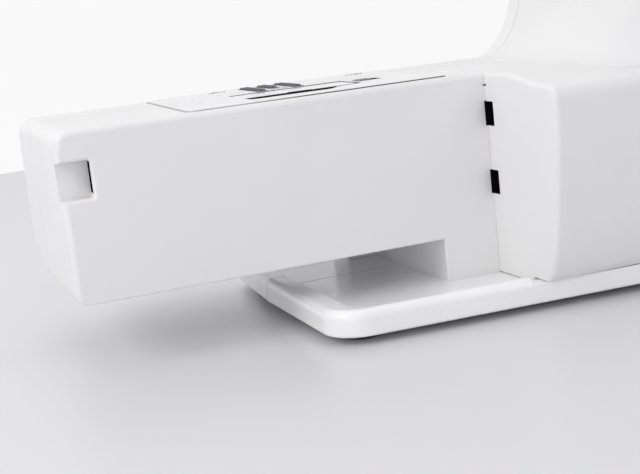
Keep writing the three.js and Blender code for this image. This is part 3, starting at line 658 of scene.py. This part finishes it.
base = cut(base, block("st", 154.5, 260, -60, -28, SEAT, 40), block("st", 154, 260, 80, 100, FLOOR, 40),
           block("st", BODY_X1 - 9.6, 260, -60, 100, FLOOR, 40))
for x, y in FOOT:
    base = cut(base, turned("h", "z", x, y, [(0, 0), (2.6, 0), (2.6, 6.4), (0, 6.4)], 20))
for x, y in BSCREW:
    base = cut(base, turned("h", "z", x, y, [(0, 0), (1.9, 0), (1.9, 6.6), (0, 6.6)], 20))
base_b = copy(base, "base_b")
place(keep(base, block("h", 0, 300, -100, 43.7, 0, 60)), "base_front", angle=30, merge=0.02)
place(keep(base_b, block("h", 0, 300, 44.3, 200, 0, 60)), "base_rear", angle=30, merge=0.02)
for k, (x, y) in enumerate(FOOT):
    place(turned("foot", "z", x, y, [(0, 0.4), (2.2, 0.4), (2.5, 0), (3.3, 0), (3.6, 0.4), (4.4, 0.4), (4.7, 0), (6.2, 0), (6.7, 0.15), (7.1, 0.45),
                                     (7.4, 1.0), (7.4, 2.7), (2.3, 2.7), (2.3, 5.6), (0, 5.6)], 56), "foot_%d" % (k + 1))


def cross(name, x, y, z0, z1, r, w, axis="z"):
    a = block(name, x - r, x + r, y - w, y + w, z0, z1)
    return join(a, block("q", x - w, x + w, y - r, y + r, z0, z1))


for k, (x, y) in enumerate(BSCREW):
    s_ = turned("screw", "z", x, y, [(0, 1.5), (2.3, 1.5), (2.7, 1.62), (3.05, 1.9), (3.2, 2.3), (3.2, 3.3), (1.5, 3.3), (1.5, 3.9), (1.2, 4.2), (1.5, 4.5), (1.2, 4.8),
                                     (1.5, 5.1), (1.2, 5.4), (1.5, 5.7), (1.0, 6.2), (0, 6.2)], 40)
    s_ = cut(s_, cross("x", x, y, 1.0, 2.35, 1.75, 0.36))
    place(s_, "base_screw_%d" % (k + 1), bevel=0.05, angle=30)

# ------------------------------------------------------------------ underside cover
cov = prism("cov", "z", rounded([(7.3, 7.3, 4, 8), (130.7, 7.3, 4, 8), (130.7, 63.7, 4, 8), (117.7, 63.7, 2, 5), (117.7, 81.7, 4, 8), (7.3, 81.7, 4, 8)]), ARM_Z0 + 0.2, ARM_Z0 + 2.4)
for x in (20, 110):
    cov = cut(cov, turned("h", "z", x, 44, [(0, 24), (3.2, 24), (3.2, 26.4), (1.7, 26.4), (1.7, 30), (0, 30)], 28))
for k in range(9):
    cov = cut(cov, prism("g", "z", rounded([(40 + k * 6, 20, 0.9, 4), (42 + k * 6, 20, 0.9, 4), (42 + k * 6, 62, 0.9, 4), (40 + k * 6, 62, 0.9, 4)]), 24, ARM_Z0 + 1.0))
place(cov, "arm_bottom_cover", bevel=0.25)
for k, x in enumerate((20, 110)):
    s_ = turned("screw", "z", x, 44, [(0, 25.2), (2.2, 25.2), (2.6, 25.32), (2.9, 25.6), (2.9, 26.1), (1.4, 26.1), (1.4, 26.7), (1.1, 27), (1.4, 27.3), (1.1, 27.6), (1.4, 27.9),
                                      (1.1, 28.2), (1.4, 28.5), (1.1, 28.8), (0.8, 29.6), (0, 29.6)], 36)
    s_ = cut(s_, cross("x", x, 44, 24.8, 25.85, 1.5, 0.32))
    place(s_, "cover_screw_%d" % (k + 1), bevel=0.04, angle=30)

# ------------------------------------------------------------------ latch sockets, with black liners that fill the slots
sock = block("s", 12.0, 20.0, 2.55, 8.6, 61.3, 75.6)
sock = join(sock, block("s", 9.42, 12.5, 1.68, 6.36, 62.98, 73.92))
sock = cut(sock, block("s", 8.0, 18.8, 2.2, 5.9, 63.4, 73.5), block("s", 11.0, 18.8, 3.6, 7.4, 62.5, 74.4))
place(sock, "latch_socket_left", bevel=0.12)
for node, z0 in (("latch_socket_upper", 65.3), ("latch_socket_lower", 39.3)):
    s_ = block("s", 163.05, 174.0, -7.0, 1.2, z0 - 1.7, z0 + 10.9)
    s_ = join(s_, block("s", 160.1, 164.0, -5.18, 1.1, z0 + 0.02, z0 + 9.18))
    s_ = cut(s_, block("s", 158.0, 172.8, -4.8, 0.2, z0 + 0.4, z0 + 8.8), block("s", 164.4, 172.8, -5.8, 0.4, z0 - 0.5, z0 + 9.7))
    s_ = join(s_, block("s", 159.28, 160.6, 0.25, 1.08, z0 + 0.02, z0 + 9.18))
    place(s_, node, bevel=0.06)

# ------------------------------------------------------------------ needle plate
PT = 85.8
WIN = (74, 121, 16, 48.3)
plate_pts = [(46.3, 4.3, 3, 8), (147.2, 4.3, 3, 8), (147.2, 83.0, 6, 8), (49.3, 83.0, 6, 8)]
plate = prism("plate", "z", rounded(plate_pts), 83.5, PT)
plate = cut(plate,
            prism("w", "z", rounded([(74, 17.5, 3.0, 8), (105.5, 16.5, 5.0, 8), (110.5, 23.5, 5, 8), (121, 25.0, 1.6, 6), (121, 48.3, 1.5, 6), (74, 48.3, 1.5, 6)]), 80, 90),
            prism("f", "z", rounded([(87.2, 49.6, 0.5, 3), (91.8, 49.6, 0.5, 3), (91.8, 79.2, 0.5, 3), (87.2, 79.2, 0.5, 3)]), 80, 90),
            prism("f", "z", rounded([(102.2, 49.6, 0.5, 3), (106.8, 49.6, 0.5, 3), (106.8, 79.2, 0.5, 3), (102.2, 79.2, 0.5, 3)]), 80, 90),
            prism("f", "z", rounded([(94.7, 57.6, 0.5, 3), (99.3, 57.6, 0.5, 3), (99.3, 79.2, 0.5, 3), (94.7, 79.2, 0.5, 3)]), 80, 90),
            prism("f", "z", rounded([(93.2, 52.4, 1.0, 6), (100.8, 52.4, 1.0, 6), (100.8, 54.6, 1.0, 6), (93.2, 54.6, 1.0, 6)]), 80, 90),
            prism("f", "z", rounded([(122.6, 33, 0.5, 3), (133, 33, 0.5, 3), (133, 41, 0.5, 3), (122.6, 41, 0.5, 3)]), 83.62, 90))
PSCREW = [(78, 76.5), (138, 75)]
for x, y in PSCREW:
    plate = cut(plate, turned("h", "z", x, y, [(0, 80), (1.8, 80), (1.8, 83.9), (3.6, 84.6), (3.8, 90), (0, 90)], 36))
# seam guide lines, cut in
for k, x in enumerate((112, 114.5, 117, 119.5, 122, 124.5, 127, 129.5, 132)):
    y1 = 60.0 if k % 2 == 0 else 57.0
    plate = cut(plate, block("l", x - 0.16, x + 0.16, 50.4, y1, PT - 0.14, PT + 1))
    plate = cut(plate, block("l", x - 0.16, x + 0.16, 68.0, 71.0 if k % 2 else 73.0, PT - 0.14, PT + 1))
plate = cut(plate, block("l", 134.3, 134.7, 46, 70, PT - 0.14, PT + 1), block("l", 124, 134.5, 64.9, 65.2, PT - 0.14, PT + 1))
for k, x in enumerate((82, 78, 74, 70, 66, 62)):
    plate = cut(plate, block("l", x - 0.16, x + 0.16, 54.0, 62.0 if k % 2 == 0 else 58.0, PT - 0.14, PT + 1))
# shallow outline mark at the left end
mark = prism("m", "z", rounded([(51, 30, 1.5, 5), (60, 30, 1.5, 5), (60, 52, 1.5, 5), (51, 52, 1.5, 5)]), PT - 0.12, PT + 1)
mark = cut(mark, prism("m", "z", rounded([(51.35, 30.35, 1.2, 5), (59.65, 30.35, 1.2, 5), (59.65, 51.65, 1.2, 5), (51.35, 51.65, 1.2, 5)]), 80, 90))
plate = cut(plate, mark)
tidy(plate, 34, 0.12, 2, 60)
paint(plate, "plate_steel")
# side faces below the top take the plate_edge slot: dark steel, with painted light on the left end
plate.data.materials.append(MAT["plate_edge"])
top_z = PT / 1000 - 2e-5
for f_ in plate.data.polygons:
    if abs(f_.normal.z) < 0.3 and f_.center.z < top_z - 2.5e-4:
        f_.material_index = 1
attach(plate, "bed")
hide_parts("needle_plate")
plate.name = "needle_plate_form"
for k, (x, y) in enumerate(PSCREW):
    s_ = turned("screw", "z", x, y, [(0, 74), (1.1, 74), (1.4, 74.4), (1.4, 83.9), (2.9, 84.7), (3.15, 85.0), (3.2, 85.35), (3.0, 85.7), (2.4, 85.95), (1.2, 86.05), (0, 86.07)], 44)
    a = math.radians(35 + 70 * k)
    c_, n_ = (math.cos(a), math.sin(a)), (-math.sin(a), math.cos(a))
    q = [(x + c_[0] * u + n_[0] * v, y + c_[1] * u + n_[1] * v) for u, v in ((-4, -0.42), (4, -0.42), (4, 0.42), (-4, 0.42))]
    s_ = cut(s_, prism("sl", "z", q, 85.3, 90))
    place(s_, "plate_screw_%d" % (k + 1), bevel=0.05, angle=30)

# ------------------------------------------------------------------ sliding cover over the bobbin
cv = prism("cv", "z", rounded([(74.35, 29, 2.2, 8), (120.65, 29, 2.2, 8), (120.65, 47.55, 1.0, 5), (74.35, 47.55, 1.0, 5)]), 83.95, 85.62)
cv = cut(cv, prism("th", "z", rounded([(90.5, 26, 1, 4), (103.5, 26, 1, 4), (101.5, 30.8, 2.2, 6), (92.5, 30.8, 2.2, 6)]), 80, 90))
cv = cut(cv, prism("in", "z", rounded([(76.6, 33.5, 1.6, 6), (118.4, 33.5, 1.6, 6), (118.4, 46, 1.0, 5), (76.6, 46, 1.0, 5)]), 83, 84.45))
for k in range(5):
    cv = cut(cv, block("gr", 80, 88.5, 31.2 + 0.0 + k * 0.9, 31.6 + k * 0.9, 85.42, 87))
place(cv, "bobbin_cover", bevel=0.16)
# the cover's front edge and thumb-notch walls get a near-black second slot: painted shade of the finger recess in front
# of the cover
cv.data.materials.append(MAT["cover_edge_painted_shade"])
for f_ in cv.data.polygons:
    if abs(f_.normal.z) < 0.5 and f_.center.z < 0.08548 and f_.center.y < (31.2 + OY) / 1000:
        f_.material_index = 1
lt = prism("lt", "z", rounded([(122.95, 33.35, 0.5, 4), (129.35, 33.35, 0.5, 4), (129.35, 40.65, 0.5, 4), (122.95, 40.65, 0.5, 4)]), 83.75, 85.5)
lt = join(lt, prism("lt2", "z", rounded([(123.6, 34.2, 0.5, 4), (128.7, 34.2, 0.5, 4), (128.7, 39.8, 0.5, 4), (123.6, 39.8, 0.5, 4)]), 85.2, 86.25))
for k in range(4):
    lt = cut(lt, block("g", 124.2 + k * 1.15, 124.7 + k * 1.15, 33, 41, 85.85, 87))
place(lt, "cover_latch", bevel=0.1)

# ------------------------------------------------------------------ hook, case, bobbin
hk = turned("hook", "z", BX, BY, rounded_profile([(3.9, 62), (18.9, 62, 0), (19.4, 62.5), (19.4, 66.4), (19.1, 66.7), (19.1, 67.3), (19.4, 67.6), (19.4, 74.1), (19.1, 74.6), (17.0, 74.6), (16.6, 74.2), (16.6, 65.6), (15.6, 64.6), (3.9, 64.6), (3.9, 62)], 4), 96)
beak = prism("beak", "z", [(BX + 14, BY + 12), (BX + 19.2, BY + 4), (BX + 19.6, BY + 9), (BX + 10, BY + 17.4)], 70.2, 72.6)
hk = join(hk, keep(beak, turned("k", "z", BX, BY, [(17.2, 60), (19.9, 60), (19.9, 80), (17.2, 80), (17.2, 60)], 64)))
hk = cut(hk, prism("c", "z", [(BX + 14, BY + 4), (BX + 24, BY - 2), (BX + 24, BY + 5), (BX + 15, BY + 8)], 68, 80),
         prism("c", "z", [(BX - 30, BY - 8), (BX - 15, BY - 6), (BX - 15, BY + 6), (BX - 30, BY + 8)], 68, 80))
for k in range(3):
    a = 2 * math.pi * k / 3 + 0.4
    hk = cut(hk, turned("hl", "z", BX + 9.8 * math.cos(a), BY + 9.8 * math.sin(a), [(0, 60), (2.1, 60), (2.1, 66), (0, 66)], 28))
place(hk, "hook", bevel=0.12)
cs = turned("case", "z", BX, BY, [(0, 64.9), (13.2, 64.9), (14.2, 65.4), (14.6, 66.3), (14.6, 74.9), (14.9, 75.2), (18.3, 75.2), (18.6, 75.5), (18.6, 76.5), (18.3, 76.8), (12.4, 76.8), (11.8, 76.5), (11.6, 76.0),
                                 (11.6, 67.2), (10.9, 66.5), (0, 66.5)], 96)
cs = join(cs, turned("pin", "z", BX, BY, [(0, 66.0), (2.7, 66.0), (2.7, 73.9), (2.2, 74.5), (0, 74.5)], 40),
          prism("tab", "z", rounded([(BX + 14.2, BY - 18.4, 1, 4), (BX + 19.2, BY - 14.2, 1, 4), (BX + 15.8, BY - 9.8), (BX + 10.6, BY - 13.9)]), 75.2, 76.8))
cs = cut(cs, prism("sl", "z", [(BX - 20, BY - 2.2), (BX - 10, BY - 1.4), (BX - 10, BY + 1.4), (BX - 20, BY + 2.2)], 72, 80),
         turned("sc", "z", BX + 4, BY - 14.6, [(0, 70), (1.2, 70), (1.2, 90), (0, 90)], 24))
for k in range(7):
    a = math.radians(100 + 22 * k)
    cs = cut(cs, turned("dm", "z", BX + 16.6 * math.cos(a), BY + 16.6 * math.sin(a), [(0, 76.45), (0.8, 76.45), (0.8, 80), (0, 80)], 16))
place(cs, "bobbin_case", bevel=0.1)


def arc(r0, r1, a0, a1, n):
    p = [(BX + r1 * math.cos(a0 + (a1 - a0) * i / n), BY + r1 * math.sin(a0 + (a1 - a0) * i / n)) for i in range(n + 1)]
    return p + [(BX + r0 * math.cos(a0 + (a1 - a0) * i / n), BY + r0 * math.sin(a0 + (a1 - a0) * i / n)) for i in range(n, -1, -1)]


ts = cut(prism("ts", "z", arc(13.0, 16.6, math.pi * 1.18, math.pi * 1.66, 30), 77.1, 77.5), turned("h", "z", BX + 4, BY - 14.6, [(0, 70), (1.2, 70), (1.2, 90), (0, 90)], 24))
ts = cut(ts, prism("s", "z", arc(14.6, 15.0, math.pi * 1.24, math.pi * 1.44, 20), 70, 90))
place(ts, "tension_spring", bevel=0.06)
sc = turned("sc", "z", BX + 4, BY - 14.6, [(0, 72.5), (0.7, 72.5), (0.9, 72.7), (0.9, 77.8), (1.75, 77.8), (1.9, 77.95), (1.9, 78.4), (1.6, 78.7), (0, 78.75)], 32)
sc = cut(sc, block("s", BX, BX + 8, BY - 14.85, BY - 14.35, 78.25, 80))
place(sc, "tension_screw", bevel=0.04, angle=30)
bb = turned("bobbin", "z", BX, BY, [(3.0, 66.8), (10.0, 66.8), (10.2, 67.0), (10.2, 67.6), (10.0, 67.8), (5.2, 67.8), (4.7, 68.2), (4.7, 76.2), (5.2, 76.6), (10.0, 76.6), (10.2, 76.8), (10.2, 77.4), (10.0, 77.6), (3.4, 77.6), (3.0, 77.3), (3.0, 66.8)], 72)
for k in range(6):
    a = 2 * math.pi * k / 6
    bb = cut(bb, turned("h", "z", BX + 7.4 * math.cos(a), BY + 7.4 * math.sin(a), [(0, 76), (1.15, 76), (1.15, 80), (0, 80)], 24))
    bb = cut(bb, turned("h", "z", BX + 7.4 * math.cos(a), BY + 7.4 * math.sin(a), [(0, 60), (1.15, 60), (1.15, 68), (0, 68)], 24))
place(bb, "bobbin", bevel=0.0)
prof = [(5.0, 68.1)]
nw = 22
for k in range(nw):
    z = 68.1 + 8.2 * k / nw
    rr = 9.0 + 0.25 * math.sin(k * 0.9)
    for u in (0.0, 0.25, 0.5, 0.75):
        prof.append((rr + 0.17 * math.sin(math.pi * u), z + 8.2 / nw * u))
prof += [(8.9, 76.3), (5.0, 76.3), (5.0, 68.1)]
place(turned("thread", "z", BX, BY, prof, 72), "bobbin_thread")

# ------------------------------------------------------------------ feed dog
def tooth_row(x0, x1, y0, y1):
    n = int(round((y1 - y0) / 1.6))
    p = [(y0, 82.0)]
    for i in range(n):
        a, b = y0 + (y1 - y0) * i / n, y0 + (y1 - y0) * (i + 1) / n
        p += [(a, 85.55), (a + (b - a) * 0.62, 86.45), (a + (b - a) * 0.76, 86.45)]
    p += [(y1, 85.55), (y1, 82.0)]
    return prism("t", "x", p, x0, x1)


fd = block("fd", 87.2, 106.8, 52.4, 76.4, 80.6, 82.3)
fd = join(fd, block("l", 93.5, 100.5, 72.4, 76.0, 63.0, 81), tooth_row(87.8, 91.2, 52.4, 76.4), tooth_row(102.8, 106.2, 52.4, 76.4), tooth_row(95.3, 98.7, 60.4, 76.4))
for x in (89.5, 97.0, 104.5):
    fd = cut(fd, block("g", x - 0.22, x + 0.22, 50, 80, 85.2, 90))
place(fd, "feed_dog", bevel=0.05, angle=28)

# ------------------------------------------------------------------ feed-drop lever
dl = join(block("dl", 58.4, 66.4, 88.3, 98.8, 52.4, 57.6), prism("kn", "y", rounded([(58.4, 50.6, 1.2, 5), (66.4, 50.6, 1.2, 5), (66.4, 59.4, 1.2, 5), (58.4, 59.4, 1.2, 5)]), 96.2, 99.8),
          block("dp", 58.4, 70.4, 86.8, 89.2, 50.4, 59.6))
for k in range(5):
    dl = cut(dl, block("g", 59.5 + k * 1.4, 60.1 + k * 1.4, 99.2, 101, 50, 60))
place(dl, "drop_lever", bevel=0.15)

# ------------------------------------------------------------------ inner metal and gears
def gear(axis, a, b, n, rt, rr, w0, w1, bore, hub, web):
    p = []
    for i in range(n):
        c0, w = 2 * math.pi * i / n, 2 * math.pi / n
        for f_, r in ((-0.34, rr), (-0.27, rr + 0.15 * (rt - rr)), (-0.2, rr + 0.55 * (rt - rr)), (-0.12, rt), (0.12, rt), (0.2, rr + 0.55 * (rt - rr)), (0.27, rr + 0.15 * (rt - rr)), (0.34, rr)):
            p.append((a + r * math.cos(c0 + f_ * w), b + r * math.sin(c0 + f_ * w)))
    g = prism("gear", axis, p, w0, w1)
    g = cut(g, turned("bore", axis, a, b, [(0, w0 - 5), (bore, w0 - 5), (bore, w1 + 5), (0, w1 + 5)], 40))
    if web:
        for s0, s1 in ((w0 - 1, w0 + web), (w1 - web, w1 + 1)):
            g = cut(g, turned("web", axis, a, b, [(hub, s0), (rr - 1.8, s0), (rr - 1.8, s1), (hub, s1), (hub, s0)], 56))
    return g


place(gear("z", BX, BY, 14, 7.2, 5.7, 39, 51, 4.3, 5.0, 0), "hook_pinion", bevel=0.12, angle=28)
place(gear("x", SY, SZ, 28, 14.0, 12.5, 91, 103, 4.3, 6.6, 3.2), "drive_gear", bevel=0.12, angle=28)
tp = gear("x", SY, SZ, 20, 9.9, 8.9, 215, 225, 4.3, 6.0, 0)
for w0, w1 in ((213.6, 215.0), (225.0, 226.4)):
    tp = join(tp, cut(turned("fl", "x", SY, SZ, [(0, w0), (10.7, w0), (11.0, w0 + 0.3), (11.0, w1 - 0.3), (10.7, w1), (0, w1)], 72),
                      turned("b", "x", SY, SZ, [(0, 200), (4.3, 200), (4.3, 232), (0, 232)], 40)))
place(tp, "timing_pulley", bevel=0.08, angle=28)
place(turned("sh", "x", SY, SZ, [(0, 56), (3.2, 56), (4.0, 56.8), (4.0, 78.4), (4.0, 130), (3.8, 130.2), (3.8, 131.4), (4.0, 131.6), (4.0, 234.2), (3.2, 235), (0, 235)], 56), "lower_shaft")
place(turned("hs", "z", BX, BY, [(0, 30.4), (3.2, 30.4), (4.0, 31.2), (4.0, 61.4), (3.6, 61.8), (3.6, 64.4), (0, 64.4)], 56), "hook_shaft")
co = turned("co", "x", SY, SZ, [(4.3, 77.4), (6.9, 77.4), (7.4, 77.9), (7.4, 81.9), (6.9, 82.4), (4.3, 82.4), (4.3, 77.4)], 56)
co = cut(co, turned("ss", "z", 79.9, SY, [(0, SZ + 6.2), (1.3, SZ + 6.2), (1.3, SZ + 9), (0, SZ + 9)], 20))
place(co, "shaft_collar", bevel=0.06)
place(cut(turned("cm", "x", SY + 1.4, SZ, [(0, 116), (8.0, 116), (8.4, 116.4), (8.4, 119), (7.9, 119.3), (7.9, 120.7), (8.4, 121), (8.4, 123.6), (8.0, 124), (0, 124)], 72),
          turned("b", "x", SY, SZ, [(0, 110), (4.3, 110), (4.3, 130), (0, 130)], 40)), "feed_cam", bevel=0.06)
for node, axis, a, b, w0, w1 in (("shaft_bush_left", "x", SY, SZ, 62, 77), ("shaft_bush_right", "x", SY, SZ, 147, 162), ("hook_bush_upper", "z", BX, BY, 53.6, 61.4), ("hook_bush_lower", "z", BX, BY, 30, 37.8)):
    place(turned("bu", axis, a, b, [(4.3, w0 + 0.3), (4.6, w0), (5.8, w0), (6.1, w0 + 0.3), (6.1, w1 - 0.3), (5.8, w1), (4.6, w1), (4.3, w1 - 0.3), (4.3, w0 + 0.3)], 56), node)
for node, x in (("feed_rod_left", 87), ("feed_rod_right", 107)):
    place(turned("rd", "y", x, 68, [(0, 57.8), (1.6, 57.8), (2.0, 58.2), (2.0, 81.3), (1.7, 81.7), (0, 81.7)], 40), node)


def refine(node, bevel, angle=30):
    """A finer copy of a CAD node: edges rounded, shading smoothed."""
    src = NODES[node]
    c = src.copy()
    c.data = src.data.copy()
    bpy.context.scene.collection.objects.link(c)
    for m_ in list(c.modifiers):
        c.modifiers.remove(m_)
    c.data.materials.clear()
    c.name = node + "_form"
    place(c, node, bevel=bevel, angle=angle)
    return c


for node, bv in (("bed_frame", 0.35), ("joint_plate", 0.25), ("pillar_plate", 0.25), ("feed_bar", 0.2), ("case_stopper", 0.12)):
    refine(node, bv)

# ------------------------------------------------------------------ stage
def sheet(name, pts):
    bm = bmesh.new()
    bm.faces.new([bm.verts.new(Vector(p)) for p in pts])
    return new_object(name, bm)


floor = sheet("floor", ((-2.2, -1.6, 0), (2.8, -1.6, 0), (2.8, 0.65, 0), (-2.2, 0.65, 0)))
fm, fnt, fb = principled("floor_pale", (0.72, 0.715, 0.735), 0.30, spec=0.5)
fn = noise(fnt, coords(fnt), 2.0, 2.0)
fnt.links.new(ramp(fnt, fn, 0.3, 0.7, (0.715, 0.71, 0.735), (0.735, 0.73, 0.755)), fb.inputs["Base Color"])
floor.data.materials.append(fm)
wall = sheet("backdrop", ((-6.0, 3.0, -2.0), (8.0, 3.0, -2.0), (8.0, 3.0, 5.0), (-6.0, 3.0, 5.0)))
wm, wnt, wb = principled("backdrop_white", (0.3, 0.3, 0.3), 0.9)
wb.inputs["Emission Color"].default_value = (1, 0.995, 0.998, 1)
wb.inputs["Emission Strength"].default_value = 0.76
wn = noise(wnt, coords(wnt), 0.6, 2.0)
wnt.links.new(ramp(wnt, wn, 0.3, 0.7, (0.28, 0.28, 0.28), (0.32, 0.32, 0.32)), wb.inputs["Base Color"])
wall.data.materials.append(wm)

world = bpy.data.worlds.new("world")
bpy.context.scene.world = world
world.use_nodes = True
world.node_tree.nodes["Background"].inputs["Color"].default_value = (0.965, 0.97, 1.0, 1)
world.node_tree.nodes["Background"].inputs["Strength"].default_value = 0.60
bpy.context.scene.view_settings.view_transform = "Standard"


def area(name, loc, target, size, power, color=(1, 1, 1)):
    d = bpy.data.lights.new(name, "AREA")
    d.shape = "RECTANGLE"
    d.size, d.size_y = size
    d.energy = power
    d.color = color
    o = bpy.data.objects.new(name, d)
    bpy.context.scene.collection.objects.link(o)
    o.location = loc
    o.rotation_mode = "QUATERNION"
    o.rotation_quaternion = (Vector(target) - Vector(loc)).to_track_quat("-Z", "Y")
    return o


area("key", (-0.72, -0.16, 0.60), (0.0, 0.0, 0.04), (0.56, 0.30), 2.0, (1.0, 0.985, 0.97))
area("front", (-0.12, -0.86, 0.90), (0.0, 0.0, 0.03), (0.30, 0.30), 0.55, (1.0, 0.99, 0.985))
area("top", (0.0, 0.25, 1.3), (0.0, 0.0, 0.0), (1.3, 1.3), 2.4, (0.98, 0.985, 1.0))
area("low", (-0.80, -0.75, 0.20), (0.0, 0.0, 0.03), (0.9, 0.36), 1.7, (0.98, 0.985, 1.0))
area("right", (0.75, -0.90, 0.75), (0.0, 0.0, 0.03), (0.6, 0.6), 1.55, (0.99, 0.99, 1.0))
